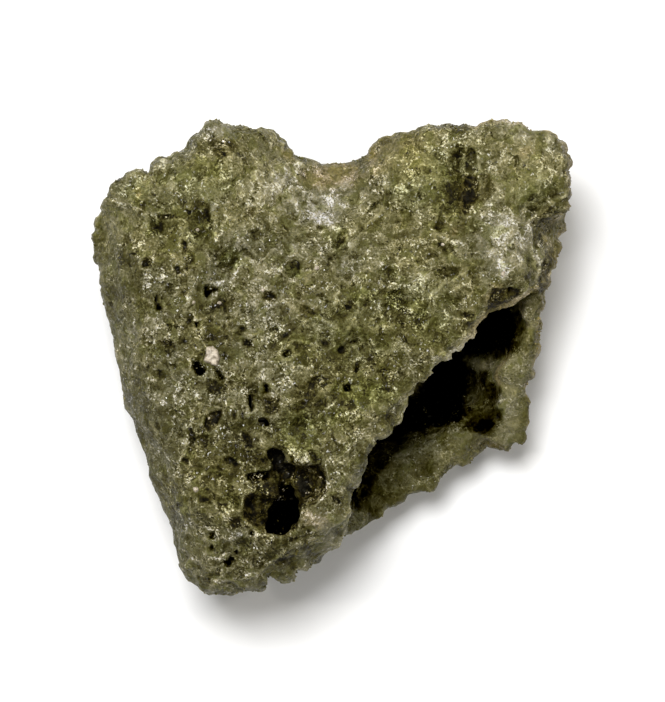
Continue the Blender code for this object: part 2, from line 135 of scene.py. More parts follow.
GREY_PLACES = (
    (-10, -1.81, 3, 9.3, 0.8), (-6.16, -11.2, 4.1, 2.8, 1), (-1.21, -8.14, 2.5, 2.8, 0.9),
    (-0.66, 9.19, 4.7, 2.5, 0.8), (9.52, 6.16, 2.8, 2.8, 0.8), (-6.43, 12.6, 1.8, 1.1, 0.9),
    (-11.4, 9.85, 1.4, 1.3, 0.7), (-4.51, 4.24, 4.4, 3.6, 0.8), (-5.06, -1.81, 4.1, 4.1, 0.5),
    (-0.385, 3.69, 5.2, 3.9, 0.4), (10.4, 0.385, 1.6, 3.3, 0.6), (10.1, 12.4, 1.6, 0.88, 0.3),
    (-0.66, 7.89, 1.76, 0.94, 1), (-2.21, 6.01, 0.66, 0.44, 0.7), (9.55, 5.79, 1.65, 2.31, 0.85),
    (0.88, 4.91, 0.88, 0.77, 0.8), (-3.86, 4.69, 1.43, 1.1, 0.6), (-5.08, -0.28, 0.88, 0.88, 0.7),
    (-12.25, 2.04, 1.32, 4.95, 0.8), (-10.04, -4.58, 1.43, 3.85, 0.8), (-8.11, -10.1, 1.21, 2.75, 0.7),
    (0.17, -7.89, 0.99, 1.87, 0.6), (-6.07, 12.36, 1.21, 0.55, 0.6), (-4.53, -4.58, 0.77, 0.66, 0.5),
    (-6.57, 8, 0.33, 0.44, 1), (11.48, 5.24, 0.55, 1.21, 0.9), (-0.66, -10.65, 2.2, 0.99, 0.5),
    (9.27, 8.11, 1.1, 0.77, 0.4),
)
GREEN_PLACES = (
    (0.99, 1.38, 3.9, 3, 0.35), (6.93, 10.4, 2, 2.2, 0.3), (-8.03, 7.54, 2.8, 2.5, 0.25),
    (-7.01, 9.77, 2.75, 1.54, 0.45), (4.86, 10.04, 2.53, 2.42, 0.6), (-7.28, 7.28, 0.77, 1.65, 0.7),
    (1.82, -1.93, 2.31, 1.32, 1), (1.82, 3.31, 1.32, 0.88, 0.7), (5.41, 1.77, 1.87, 1.43, 0.5),
    (-2.04, 4.8, 0.55, 0.55, 0.9), (-1.77, -4.03, 1.87, 1.54, 0.8), (3.48, 3.15, 0.77, 0.99, 0.7),
    (-9.77, 7.17, 0.66, 0.77, 0.8), (-10.87, 9.22, 1.21, 0.88, 0.6), (-5.57, 5.41, 0.77, 0.77, 0.7),
    (6.24, 8.39, 1.1, 1.32, 0.6), (-1.77, 0.66, 1.65, 1.32, 0.3), (-3.86, -7.34, 0.66, 0.55, 0.6),
    (-5.63, -7.89, 0.77, 0.77, 0.5), (0.44, 6.46, 0.77, 0.99, 0.6), (10.93, 9.22, 1.65, 1.43, 0.5),
    (4.86, 3.15, 2.75, 1.65, 0.3), (-0.11, -3.48, 1.65, 1.1, 0.5),
)
# A painted highlight along the torn edge of the lid, where its thin glass catches the light.
PAINTED_TORN_EDGE_HIGHLIGHTS = (
    (4.3, -2.1, 0.13, 0.39, -15, 0.7), (3.92, -3.09, 0.12, 0.6, -32, 0.7), (3.37, -4.19, 0.17, 0.39, -35,
        0.8),
    (2.43, -4.75, 0.14, 0.33, 0, 0.8), (2.04, -5.57, 0.12, 0.49, -28, 0.7), (1.66, -6.62, 0.12, 0.39, 0,
        0.6),
    (1.38, -7.67, 0.13, 0.22, -10, 0.8), (8.55, 2.32, 0.55, 0.1, 22, 0.6), (9.66, 2.81, 0.71, 0.11, 22,
        0.6),
    (7.73, 1.1, 0.49, 0.11, 38, 0.6), (5.52, -0.99, 0.17, 0.17, 0, 0.8), (6.62, 0.39, 0.55, 0.1, 22, 0.5),
    (4.86, -1.49, 0.49, 0.1, 35, 0.5), (8, 1.77, 0.11, 0.44, -30, 0.6), (10.82, 3.42, 0.33, 0.33, 0, 0.4),
)
# What shows lit of the hollow's floor and wall, as how bright and the corners round it, then the lumps there.
LIT_INSIDE = (
    (1, ((9.85, 3.10), (11.90, 4.10), (11.88, 1.49), (11.71, 0.39), (11.22, -1.71), (11.22, -4.12), (9.02,
        -5.12), (8.47, -4.57), (9.46, -3.35), (8.74, -2.58), (8.91, -1.71), (8.20, -0.99), (7.59, -0.71),
        (7.37, -0.17), (7.92, 0.17), (8.86, 0.15), (10, 0.25), (10.35, 1.4))),
    (0.72, ((8.47, -4.57), (9.46, -3.35), (11.22, -4.12), (9.02, -5.1), (6.5, -5.9), (4.6, -6.9), (3.7,
        -8.1), (1.3, -8.9), (1.43, -8.14), (2.20, -6.76), (3.74, -4.57), (5.28, -4.07), (5.72, -3.90),
        (7.26, -3.69))),
    (0.42, ((2.31, -4.62), (3.96, -4.46), (2.20, -6.99), (1.32, -8.53), (1.21, -7.87), (1.65, -6.21))),
    (0.6, ((7.59, -0.71), (8.25, -1.04), (8.91, -1.81), (8.80, -2.58), (9.46, -3.35), (7.37, -3.79), (7.15,
        -2.37), (7.26, -1.26))),
    (1.25, ((9.29, -2.15), (10.89, -1.54), (11.44, -3.46), (10.62, -4.79), (9.46, -4.57))),
)
INNER_LUMPS = (
    (9.59, -0.84, 0.82, 0.71, 0, 0.5), (8.08, -0.22, 0.66, 0.49, 0, 0.35), (10.94, 2.58, 0.71, 0.66, 0,
        0.45),
    (9.48, -2.64, 0.49, 0.49, 0, 0.35), (10.43, -2.19, 0.66, 0.49, 0, 0.35), (10.83, 0.67, 0.49, 0.82, 0,
        0.35),
    (10.1, -3.81, 0.71, 0.6, 0, 0.3), (9.82, -4.49, 0.22, 0.22, 0, 0.3), (5.39, -5.05, 0.6, 0.66, 0, 0.2),
    (6.62, -5.05, 0.55, 0.66, 0, 0.2), (8.75, 0.95, 0.55, 0.44, 0, 0.2),
)
# Broad patches of the skin that are lighter, or darker where the last number is below 0.
BROAD_SHADES = (
    (10.6, 10.6, 3.3, 4.1, 0, 0.6), (5.12, 10.6, 2.8, 2.8, 0, 0.4), (-3.85, 9.73, 2.5, 4.1, -15, 0.75),
    (-0.385, 8.36, 3.6, 2.2, 0, 0.35), (9.52, 6.43, 2.5, 2.2, 0, 0.5), (5.67, 5.61, 2.8, 2.8, 0, 0.25),
    (0.715, 3.02, 1.5, 1.5, 0, 0.7), (-7.81, 10, 3.3, 2.2, 0, 0.3), (-11.9, 7.81, 1.6, 2.5, 0, 0.35),
    (-5.88, 5.88, 1.9, 1.4, 0, 0.35), (-9.73, 3.96, 1.6, 2.5, 0, -0.45), (-4.79, 2.58, 2.2, 2.2, 0, -0.25),
    (-6.43, -1.26, 2.2, 1.9, 0, -0.5), (-7.81, 1.21, 2.2, 1.6, 0, -0.3),
    (-0.385, 0.385, 4.4, 1.9, 0, -0.25), (-0.11, -2.09, 2.5, 2.5, 0, -0.5),
    (2.53, -1.26, 1.6, 1.9, 0, -0.4), (-4.51, -4.57, 2.5, 2.5, 0, -0.45),
    (-5.88, -6.21, 4.1, 4.7, 0, -0.32), (-1.76, -7.32, 3.3, 3.3, 0, -0.2), (-3.85, -10.5, 5, 2.6, 0, -0.5),
    (-9.46, -4.01, 2.8, 6, 0, -0.28), (3.46, -4.01, 0.82, 1.4, 35, 0.35), (6.76, 12.5, 1.4, 0.66, 0, -0.7),
    (-6.99, 11.9, 1.2, 0.77, 0, -0.4), (-4.51, 8.25, 1.3, 1.1, 0, -0.4),
)
# The band of smooth grey glass that rolls over the lid's front edge, as the corners round it.
LID_RIM = (
    (3.30, -2.25), (2.53, -3.02), (1.54, -4.34), (0.99, -5.78), (0.66, -7.09), (0.33, -8.30), (-0.33,
        -9.29), (-1.54, -10.39), (-3.08, -11.17), (-4.51, -11.94), (-5.28, -12.48), (-3.85, -12.71), (-1.76,
        -12.15), (0.00, -11.05), (1.10, -9.19), (1.21, -7.09), (1.76, -5.22), (3.08, -3.69),
)
# Lumps that stand out along the outline, as middle, radius and height, and dents where the height is below 0.
EDGE_LUMPS = (
    (2.81, 11.77, 0.44, 0.17), (3.74, 11.99, 0.44, 0.17), (5.28, 12.10, 0.66, 0.28), (6.33, 12.38, 0.44,
        0.22),
    (7.32, 12.27, 0.44, 0.17), (8.58, 12.54, 0.49, 0.22), (9.52, 12.60, 0.39, 0.17), (10.34, 12.60, 0.39,
        0.17),
    (11.33, 11.94, 0.39, 0.17), (11.88, 12.10, 0.49, 0.22), (12.65, 10.72, 0.44, 0.22), (13.04, 9.73, 0.39,
        0.17),
    (12.98, 8.96, 0.33, 0.17), (12.93, 8.20, 0.33, 0.17), (12.60, 7.09, 0.33, 0.17), (12.54, 6.11, 0.33,
        0.22),
    (12.10, 5.17, 0.33, 0.22), (11.77, 4.12, 0.33, 0.17), (-10.78, 9.85, 0.60, 0.33), (-9.46, 10.39, 0.49,
        0.28),
    (-8.47, 10.84, 0.33, 0.17), (-7.37, 11.82, 0.33, 0.17), (-6.49, 12.48, 0.49, 0.22), (-5.83, 12.48, 0.33,
        0.11),
    (-4.90, 12.38, 0.39, 0.17), (-3.85, 12.21, 0.33, 0.17), (-2.86, 11.61, 0.33, 0.17), (-2.31, 11.22, 0.28,
        0.11),
    (-12.32, 8.36, 0.39, 0.22), (-12.87, 7.42, 0.33, 0.17), (-12.87, 6.54, 0.28, 0.17), (-12.71, 5.45, 0.33,
        0.17),
    (-12.48, 4.24, 0.33, 0.11), (-7.97, -11.44, 0.33, 0.17), (-6.93, -12.54, 0.39, 0.17), (-5.61, -12.81,
        0.33, 0.17),
    (-3.85, -12.32, 0.33, 0.22), (-3.14, -12.10, 0.28, 0.17), (-2.42, -12.04, 0.33, 0.22),
    (-1.49, -11.55, 0.28, 0.17), (-0.77, -11.28, 0.33, 0.22), (0.33, -10.34, 0.33, 0.17), (0.99, -9.62,
        0.28, 0.11),
    (2.20, -9.19, 0.33, 0.17), (3.08, -8.80, 0.33, 0.22), (3.90, -8.25, 0.33, 0.17), (4.73, -7.54, 0.39,
        0.22),
    (5.72, -7.15, 0.33, 0.22), (6.76, -6.43, 0.33, 0.17), (7.59, -5.83, 0.33, 0.17), (8.53, -5.22, 0.33,
        0.17),
    (9.52, -4.95, 0.39, 0.22), (10.56, -4.57, 0.39, 0.22), (11.00, -3.74, 0.33, 0.17), (10.95, -2.37, 0.33,
        0.17),
    (11.11, -0.99, 0.33, 0.22), (11.33, 0.39, 0.33, 0.17), (11.49, 1.76, 0.33, 0.22), (11.49, 2.86, 0.33,
        0.17),
    (5.50, -0.99, 0.28, 0.22), (5.00, -1.16, 0.28, 0.17), (4.40, -1.81, 0.28, 0.17), (3.14, -4.24, 0.39,
        0.33), (2.48, -4.73, 0.44, 0.44),
    (1.98, -5.45, 0.39, 0.33), (1.65, -6.21, 0.33, 0.22), (6.27, 0.06, 0.28, 0.17), (7.09, 0.49, 0.28,
        0.17), (7.81, 1.26, 0.28, 0.17),
    (3.58, -3.63, 0.49, 0.28), (3.14, -4.07, 0.55, 0.44), (2.69, -4.40, 0.55, 0.49), (2.25, -4.90, 0.49,
        0.44),
    (1.93, -5.45, 0.49, 0.39), (1.71, -6.00, 0.44, 0.28), (5.06, -6.99, 0.77, 0.44), (3.96, -8.20, 0.60,
        0.33),
    (2.75, -8.86, 0.60, 0.28),
    (-7.65, 11.88, 0.44, 0.11), (12.87, 11.71, 0.44, 0.28), (2.20, 11.61, 0.44, 0.22), (-1.32, 10.95, 0.66,
        0.17),
    (-6.60, -12.81, 0.66, 0.28), (-3.19, 12.21, 0.60, 0.17), (10.29, 12.93, 0.33, 0.17), (7.59, -5.22, 0.88,
        0.39),
    (4.84, -7.32, 0.77, 0.44), (3.96, -7.87, 0.88, 0.33),
    (1.87, -4.95, 0.77, 0.60), (1.54, -5.78, 0.77, 0.55), (2.92, -4.18, 0.66, 0.66), (1.26, -6.66, 0.55,
        0.28),
    (9.07, -4.90, 0.55, 0.28), (10.12, -5.12, 0.49, -0.33), (-3.30, -12.48, 0.49, -0.55),
    (-1.59, -12.04, 0.49, -0.39), (-2.42, -12.27, 0.44, 0.22), (-3.85, -12.60, 0.39, 0.22),
    (2.75, -8.91, 0.55, 0.28),
)
# Low steps in the skin: both ends of the ridge, how wide the slope below it is, its drop, and the strength of
# the shadow painted on that slope.
STEPS = (
    (7.42, 11.82, 7.15, 7.87, 1.87, 0.33, 0.42), (12.87, 8.96, 10.72, 7.32, 1.43, 0.39, 0.3),
    (-5.12, 6.21, -6.49, 5.12, 1.43, 0.22, 0.45), (1.71, 3.79, 0.6, 1.93, 1.98, 0.22, 0.42),
    (-7.15, 8.63, -6.82, 6.38, -0.77, 0.17, 0.45), (3.3, 4.9, 2.86, 3.14, 0.99, 0.17, 0.3),
    (5.39, 3.14, 4.73, 1.49, 1.1, 0.22, 0.3), (-1.76, 1.76, -3.41, 0.28, 1.21, 0.17, 0.3),
    (-0.77, -1.93, -1.98, -3.14, 1.21, 0.17, 0.35), (-4.79, -1.71, -3.85, -2.92, -1.1, 0.17, 0.35),
    (-5.72, 3.14, -6.99, 2.15, 0.99, 0.17, 0.3), (0.71, 6.71, -0.11, 5.22, 1.1, 0.17, 0.35),
)
# Thin pale ridges between the bubbles.
PALE_LINES = (
    ((-5.88, 6.05), (-5.06, 6.43), (-3.85, 5.22), (-3.08, 4.4)),
    ((-3.85, 5.22), (-2.69, 6.43)),
    ((-2.69, 3.14), (-1.76, 2.48), (-0.11, 1.93), (0.71, 1.16), (1.21, 2.15), (1.71, 3.79)),
    ((0.06, 7.09), (0.71, 6.71), (1.16, 6.05)),
    ((1.16, 6.05), (1.87, 7.21), (2.75, 7.87)),
    ((-0.11, 5.88), (0.99, 6.11)),
    ((-5.22, 5.22), (-5.5, 3.96), (-4.51, 3.14), (-3.85, 2.53), (-2.58, 3.14)),
    ((-3.52, 1.43), (-2.81, 0.66), (-1.76, 0.94), (-0.88, 0.6)),
    ((-5.61, 1.43), (-4.51, 1.16), (-3.85, 1.43)),
    ((7.42, 11.82), (7.26, 10.29), (7.09, 9.19), (7.21, 7.87)),
    ((12.87, 8.96), (11.77, 8.25), (10.72, 7.32), (11, 5.88), (11.71, 4.07)),
    ((5.39, 3.14), (5.94, 3.96), (7.15, 4.51), (8.8, 4.01)),
    ((3.3, 4.9), (4.01, 5.22), (5.12, 5)),
    ((-1.76, 1.76), (-0.88, 2.15), (-0.11, 1.93)),
    ((-7.48, -6.76), (-6.6, -6.21), (-5.61, -6.43)),
    ((-0.77, -1.93), (0, -1.54), (0.99, -1.93), (1.65, -2.92)),
    ((0.71, -3.46), (1.32, -4.57), (1.1, -6.21)),
    ((-6.43, 8.63), (-5.83, 7.87), (-5.17, 7.54)),
    ((-10.23, 5.88), (-9.46, 5.22), (-9.24, 4.24)),
    ((-1.76, 9.19), (-0.77, 8.74), (0.06, 8.86)),
    ((2.75, 7.87), (2.97, 9.19), (2.64, 10.56)),
    ((5.39, 7.26), (6.21, 6.43), (6.6, 5.22)),
    ((-6.54, -7.86), (-6.16, -8.42), (-5.61, -8.53), (-5.06, -8.47)),
    ((-6, -9.84), (-5.5, -10.06), (-5.39, -10.62)),
    ((-1.21, -10.29), (-0.66, -10.06)),
    ((-4.95, -4.01), (-4.18, -4.24), (-3.85, -4.12)),
    ((-3.19, 9.51), (-2.86, 9.19)),
    ((-6.05, -12.32), (-4.12, -12.04), (-3.74, -11.61), (-2.92, -10.89), (-2.04, -10.39), (-1.21, -10.12),
        (-0.60, -9.90), (0.17, -9.19), (0.99, -8.42)),
    ((-6.99, 8.74), (-6.71, 8.30), (-6.49, 7.42), (-6.38, 6.43)),
)
# Facets that let light in, as how dark, 1 if brown, and corners. The darkest that are not brown are holes,
# with the shade in them painted black.
DARK_FACETS = (
    (0.9, 1, ((-3.58, -5.22), (-3.25, -5.06), (-2.75, -5.12), (-2.53, -5.45), (-2.58, -5.78), (-2.2, -6.21),
        (-2.15, -6.76), (-2.64, -6.54), (-3.02, -6.21), (-3.35, -5.83), (-3.52, -5.5))),
    (1, 0, ((-2.81, -6.38), (-2.48, -6.54), (-2.2, -6.99), (-2.15, -7.7), (-1.93, -8.3), (-2.04, -8.96),
        (-2.31, -9.29), (-2.64, -9.68), (-3.14, -9.73), (-3.52, -9.62), (-3.63, -9.24), (-3.35, -8.91),
        (-3.41, -8.47), (-3.14, -8.03), (-2.81, -7.65), (-2.75, -6.99))),
    (0.58, 1, ((-4.4, -6.54), (-3.52, -6.21), (-2.31, -5.78), (-0.88, -5.88), (-0.28, -6.43), (-0.22,
        -7.32), (-0.99, -8.14), (-1.76, -8.2), (-1.81, -9.19), (-2.53, -9.9), (-3.74, -9.68), (-4.84,
        -8.86), (-4.9, -7.75), (-4.29, -7.32))),
    (0.52, 0, ((7.42, 11.61), (7.65, 11.71), (7.92, 11.28), (8.03, 10.84), (8.09, 10.18), (7.26, 10.18))),
    (0.7, 1, ((7.26, 10.12), (8.03, 10.12), (8.14, 9.4), (8.03, 8.74), (7.81, 8.42), (7.04, 8.42), (7.09,
        9.52))),
    (0.5, 1, ((7.04, 8.42), (7.59, 8.42), (7.48, 7.87), (7.04, 7.87))),
    (0.3, 1, ((8.09, 10.18), (8.69, 10.06), (9.02, 9.19), (8.47, 8.42), (7.81, 8.42), (8.14, 9.4))),
    (0.14, 0, ((8.25, 11.94), (9.24, 11.61), (10.29, 10.95), (10.34, 9.73), (9.68, 9.4), (9.13, 10.18),
        (8.14, 10.18), (8.09, 10.84))),
    (0.25, 1, ((10.78, 7.42), (11.71, 8.2), (12.32, 8.25), (12.54, 7.81), (12.27, 7.26), (11.77, 6.66),
        (11.33, 6), (10.89, 6.11))),
    (0.35, 1, ((11.49, 5.22), (11.88, 5.88), (12.32, 6.71), (12.6, 7.42), (12.76, 7.75), (12.71, 6.54),
        (12.21, 5.88), (11.94, 4.67), (11.71, 3.14), (11.38, 3.58))),
    (0.2, 0, ((5.72, 9.07), (6.27, 9.4), (6.49, 8.86), (6.21, 8.47), (5.72, 8.63))),
    (0.4, 0, ((5.72, 7.42), (5.94, 8.2), (6.27, 7.42), (6.16, 6.88), (5.83, 6.54), (5.61, 7.09))),
    (0.42, 0, ((5.78, 6.66), (6.33, 6.43), (6.76, 6.05), (6.82, 5.78), (6.38, 5.55), (5.94, 5.88))),
    (0.42, 0, ((2.75, 9.19), (3.3, 9.19), (3.41, 8.74), (2.86, 8.69))),
    (0.3, 0, ((4.18, 5.22), (4.62, 5.45), (5.28, 5.22), (5.39, 5), (4.4, 4.9))),
    (0.38, 0, ((5.5, 4.9), (6.27, 5), (7.04, 5), (6.93, 4.57), (5.94, 4.24), (5.61, 4.46))),
    (0.4, 0, ((2.75, 5.12), (3.41, 4.9), (3.69, 4.12), (3.19, 4.01), (2.86, 4.57))),
    (0.38, 0, ((2.86, 3.69), (3.74, 3.79), (4.18, 3.25), (4.18, 2.25), (3.85, 1.76), (2.97, 2.04), (2.64,
        2.48), (3.08, 3.14))),
    (0.6, 1, ((8.8, 3.69), (9.24, 3.79), (9.9, 3.85), (10.45, 3.58), (10.34, 3.25), (9.68, 2.81), (9.13,
        2.48), (8.47, 2.25), (8.36, 2.48))),
    (0.9, 0, ((9.62, 3.79), (10.01, 3.79), (10.06, 3.46), (9.73, 3.35))),
    (0.55, 0, ((7.04, 2.48), (7.92, 2.48), (7.7, 2.15), (7.15, 2.15))),
    (0.5, 0, ((-6.27, 5.22), (-5.83, 5.78), (-5.17, 6.11), (-5.06, 5.22), (-5.28, 4.79), (-5.83, 4.57),
        (-6.27, 4.79))),
    (0.48, 0, ((-2.64, 5.22), (-1.98, 5.45), (-1.65, 5.22), (-1.76, 4.57), (-2.2, 4.24), (-2.58, 4.57))),
    (0.7, 1, ((-3.85, 3.52), (-3.41, 3.69), (-3.02, 3.25), (-3.41, 3.02), (-3.85, 3.14))),
    (0.2, 0, ((1.26, 3.96), (2.2, 3.96), (3.08, 3.69), (2.53, 2.48), (1.65, 1.93), (0.77, 2.15), (0.71,
        2.86))),
    (0.55, 0, ((1.81, 3.14), (2.2, 3.02), (2.09, 2.69), (1.76, 2.81))),
    (0.5, 0, ((2.75, 3.14), (3.3, 3.58), (3.46, 2.58), (2.86, 2.15), (2.64, 2.48))),
    (0.42, 1, ((-1.76, 2.97), (-1.21, 2.81), (-0.77, 2.25), (-1.43, 1.93), (-1.76, 2.25))),
    (0.22, 0, ((-0.55, 2.48), (0.17, 2.69), (0.6, 2.15), (0.22, 1.93), (-0.44, 2.04))),
    (0.65, 0, ((-3.52, 1.59), (-3.08, 1.93), (-2.69, 1.59), (-2.97, 1.38), (-3.52, 1.43))),
    (0.55, 0, ((-5.45, 1.26), (-4.95, 1.71), (-4.51, 1.49), (-5.06, 1.16))),
    (0.7, 0, ((-5, 0.94), (-4.4, 1.04), (-4.4, 0.6), (-4.9, 0.6))),
    (0.78, 0, ((-2.81, 0.28), (-2.31, 0.49), (-2.09, 0.06), (-2.64, -0.11))),
    (0.5, 0, ((-0.55, 0.94), (-0.11, 0.88), (-0.22, 0.49), (-0.49, 0.6))),
    (0.7, 0, ((0.22, 0.39), (0.49, 0.71), (0.99, 0.6), (0.88, 0.28), (0.44, 0.17))),
    (0.85, 0, ((0.99, 0.77), (1.54, 0.99), (1.43, 0.71), (1.04, 0.6))),
    (0.8, 0, ((1.16, -0.82), (1.32, -0.28), (1.54, -0.17), (1.49, -0.6), (1.32, -0.94))),
    (0.9, 0, ((0.66, -1.49), (0.99, -1.32), (1.16, -1.81), (0.94, -1.98), (0.66, -1.81))),
    (0.42, 0, ((-1.43, -1.38), (-0.77, -0.99), (-0.66, -1.38), (-1.1, -1.81))),
    (0.55, 0, ((-0.66, -1.54), (-0.22, -1.38), (-0.11, -1.71), (-0.55, -1.81))),
    (0.55, 0, ((-3.41, -1.26), (-2.64, -0.94), (-2.64, -1.21), (-3.08, -1.38))),
    (0.72, 0, ((-3.08, -1.43), (-2.81, -1.54), (-2.86, -1.81), (-3.08, -1.65))),
    (0.85, 0, ((-3.85, -1.38), (-3.41, -1.59), (-3.41, -2.04), (-3.85, -2.04))),
    (0.95, 0, ((-4.67, -1.93), (-4.29, -2.15), (-4.24, -2.81), (-4.51, -3.02), (-4.67, -2.48))),
    (0.5, 1, ((-3.85, -2.15), (-2.86, -2.15), (-2.86, -3.14), (-3.74, -3.14))),
    (0.38, 0, ((-2.42, -2.69), (-1.76, -2.42), (-1.32, -2.37), (-1.43, -2.92), (-2.31, -3.02))),
    (0.42, 1, ((2.53, -0.71), (2.97, -0.49), (3.41, -1.04), (3.41, -1.93), (2.86, -1.93), (2.64, -1.38))),
    (0.52, 0, ((-10.01, 7.65), (-9.46, 7.81), (-9.24, 7.42), (-9.29, 6.88), (-9.68, 6.54), (-10.06, 6.99))),
    (0.75, 1, ((-9.57, 7.87), (-8.8, 7.75), (-8.3, 7.65), (-8.91, 7.54), (-9.46, 7.54))),
    (0.38, 0, ((-8.03, 7.87), (-7.7, 8.42), (-7.32, 8.74), (-6.99, 8.63), (-6.71, 7.87), (-6.54, 6.88),
        (-6.82, 6.43), (-7.37, 6.33), (-7.81, 6.76))),
    (0.75, 1, ((-8.25, 6.54), (-7.97, 6.43), (-7.92, 5.88), (-8.14, 5.67), (-8.25, 6.11))),
    (0.58, 0, ((-8.14, 5.67), (-7.59, 5.67), (-7.65, 5.22), (-8.09, 5.17))),
    (0.4, 1, ((-6.93, 11.99), (-6.49, 12.1), (-5.94, 11.99), (-5.39, 11.82), (-5.12, 11.49), (-5.5, 11.11),
        (-6.05, 10.95), (-6.54, 11.17), (-6.66, 11.61))),
    (0.5, 1, ((-10.56, 8.42), (-10.23, 8.53), (-10.29, 7.97), (-10.51, 7.87))),
    (0.3, 0, ((-11.77, 7.42), (-11.44, 7.65), (-11.28, 7.21), (-11.55, 6.99))),
    (0.8, 1, ((-10.56, 5.22), (-10.23, 5.55), (-9.9, 5.33), (-10.01, 5), (-10.45, 4.9))),
    (0.5, 1, ((-4.84, 7.87), (-4.62, 8.2), (-4.29, 8.3), (-4.18, 7.97), (-4.51, 7.7))),
    (0.45, 0, ((-9.57, 5.22), (-9.29, 5.22), (-9.24, 4.51), (-9.4, 4.34))),
    (0.75, 0, ((-9.46, 4.18), (-9.19, 4.18), (-9.24, 3.9), (-9.4, 3.9))),
    (0.78, 0, ((-9.85, 3.41), (-9.62, 3.41), (-9.57, 3.02), (-9.35, 2.81), (-9.35, 2.53), (-9.68, 2.53),
        (-9.79, 2.97))),
    (0.35, 0, ((-9.13, 3.79), (-8.69, 3.79), (-8.69, 3.41), (-9.02, 3.35))),
    (0.45, 0, ((-8.69, 5), (-8.36, 5), (-8.25, 4.67), (-8.53, 4.57))),
    (0.8, 0, ((-6.93, 4.01), (-6.33, 4.07), (-6.27, 3.69), (-6.6, 3.46), (-6.93, 3.19), (-7.04, 3.63))),
    (0.4, 1, ((-8.36, 3.69), (-7.81, 3.69), (-8.03, 3.25), (-8.36, 3.25))),
    (0.48, 0, ((-9.19, 1.81), (-8.74, 1.81), (-8.8, 1.38), (-9.07, 1.38))),
    (0.38, 0, ((-9.46, 0.88), (-8.91, 1.04), (-8.58, 0.6), (-8.58, 0.06), (-9.13, 0), (-9.73, 0.28), (-9.96,
        0.6))),
    (0.65, 1, ((-9.57, 0.88), (-8.86, 0.94), (-8.58, 0.55), (-9.24, 0.49))),
    (0.65, 0, ((-8.2, 1.04), (-7.87, 0.88), (-7.92, 0.66), (-8.14, 0.77))),
    (0.9, 0, ((-7.65, 1.98), (-7.26, 1.98), (-7.32, 1.59), (-7.59, 1.59))),
    (0.92, 0, ((-7.7, -0.06), (-7.26, -0.17), (-6.88, -0.71), (-7.09, -1.1), (-7.48, -0.94), (-7.75,
        -0.49))),
    (0.9, 0, ((-6.49, -0.49), (-6.21, -0.55), (-6.05, -0.94), (-5.83, -1.38), (-6.05, -1.49), (-6.49,
        -1.04))),
    (0.52, 0, ((-6.88, -1.16), (-5.83, -1.49), (-5.78, -1.93), (-6.27, -2.25), (-6.82, -1.81))),
    (0.6, 0, ((-6.82, 2.2), (-6.6, 2.25), (-6.54, 1.93), (-6.76, 1.93))),
    (0.85, 0, ((-6.49, 1.93), (-6.11, 1.98), (-6.27, 1.76))),
    (0.9, 0, ((-5.88, 2.2), (-5.33, 2.37), (-5.39, 2.15), (-5.72, 2.04))),
    (0.3, 0, ((-9.9, -0.49), (-9.35, -0.82), (-9.13, -1.16), (-9.57, -1.26), (-10.01, -0.94))),
    (0.35, 0, ((-10.51, 1.49), (-10.18, 1.49), (-10.23, 0.82), (-10.51, 0.94))),
    (0.7, 0, ((-5.72, -1.26), (-5.5, -1.32), (-5.55, -1.54))),
    (0.72, 1, ((-6.99, -3.3), (-6.6, -2.92), (-6.05, -2.92), (-6, -3.25), (-6.38, -3.79), (-6.82, -4.12),
        (-7.09, -3.74))),
    (0.62, 0, ((-8.03, -3.74), (-7.75, -3.79), (-7.48, -4.34), (-7.54, -5.12), (-7.81, -5.28), (-7.92,
        -4.9), (-7.81, -4.34))),
    (0.65, 1, ((-8.25, -5.55), (-7.81, -5.5), (-7.81, -5.88), (-8.2, -5.78))),
    (0.65, 0, ((-5.45, -2.92), (-5.22, -2.92), (-5.17, -3.35), (-5.39, -3.41))),
    (0.68, 0, ((-5.06, -4.12), (-4.51, -4.34), (-4.29, -4.9), (-4.62, -5), (-4.95, -4.57))),
    (0.68, 0, ((-6.05, -5.45), (-5.28, -5.5), (-5.06, -6), (-5.61, -6.05), (-6.05, -5.78))),
    (0.8, 0, ((-4.73, -6.54), (-4.07, -6.21), (-3.41, -6.38), (-3.3, -6.66), (-4.18, -6.88), (-4.62,
        -6.76))),
    (0.68, 1, ((-4.9, -7.75), (-4.18, -7.75), (-4.01, -8.3), (-4.18, -8.96), (-4.84, -8.96))),
    (0.5, 1, ((-5.78, -8.86), (-5.06, -8.86), (-5, -9.4), (-5.61, -9.52))),
    (0.82, 0, ((-6.93, -9.73), (-6.49, -9.57), (-6.27, -10.06), (-6.71, -10.06))),
    (0.82, 0, ((-6.82, -10.34), (-6.49, -10.23), (-6.49, -10.72), (-6.76, -10.72))),
    (0.75, 0, ((-4.62, -9.52), (-4.29, -9.52), (-4.29, -9.85), (-4.62, -9.85))),
    (0.5, 0, ((-6.54, -6.76), (-6.33, -6.76), (-6.33, -7.32), (-6.49, -7.32))),
    (0.5, 0, ((-7.42, -7.59), (-6.71, -7.65), (-6.6, -8.03), (-7.26, -8.03))),
    (0.38, 0, ((-8.53, -7.87), (-8.25, -8.03), (-8.3, -8.53), (-8.47, -8.3))),
    (0.74, 1, ((-1.54, -6.11), (-0.94, -6.11), (-0.55, -6.43), (-0.39, -6.88), (-0.6, -7.32), (-0.99,
        -7.81), (-1.43, -7.92), (-0.99, -7.21), (-1.04, -6.66))),
    (0.78, 1, ((-2.2, -6.21), (-1.49, -6.11), (-1.04, -6.66), (-0.99, -7.21), (-1.43, -7.92), (-1.98,
        -7.81), (-2.2, -7.21))),
    (0.62, 1, ((-3.96, -7.87), (-3.3, -8.03), (-3.41, -8.74), (-3.85, -8.63))),
    (0.45, 0, ((-4.18, -6.88), (-2.86, -6.88), (-2.86, -7.75), (-4.07, -7.65))),
    (0.32, 0, ((3.63, -2.37), (4.01, -2.15), (3.74, -3.02), (2.92, -3.74), (2.2, -4.12), (1.76, -4.34),
        (2.31, -3.69), (2.97, -2.92))),
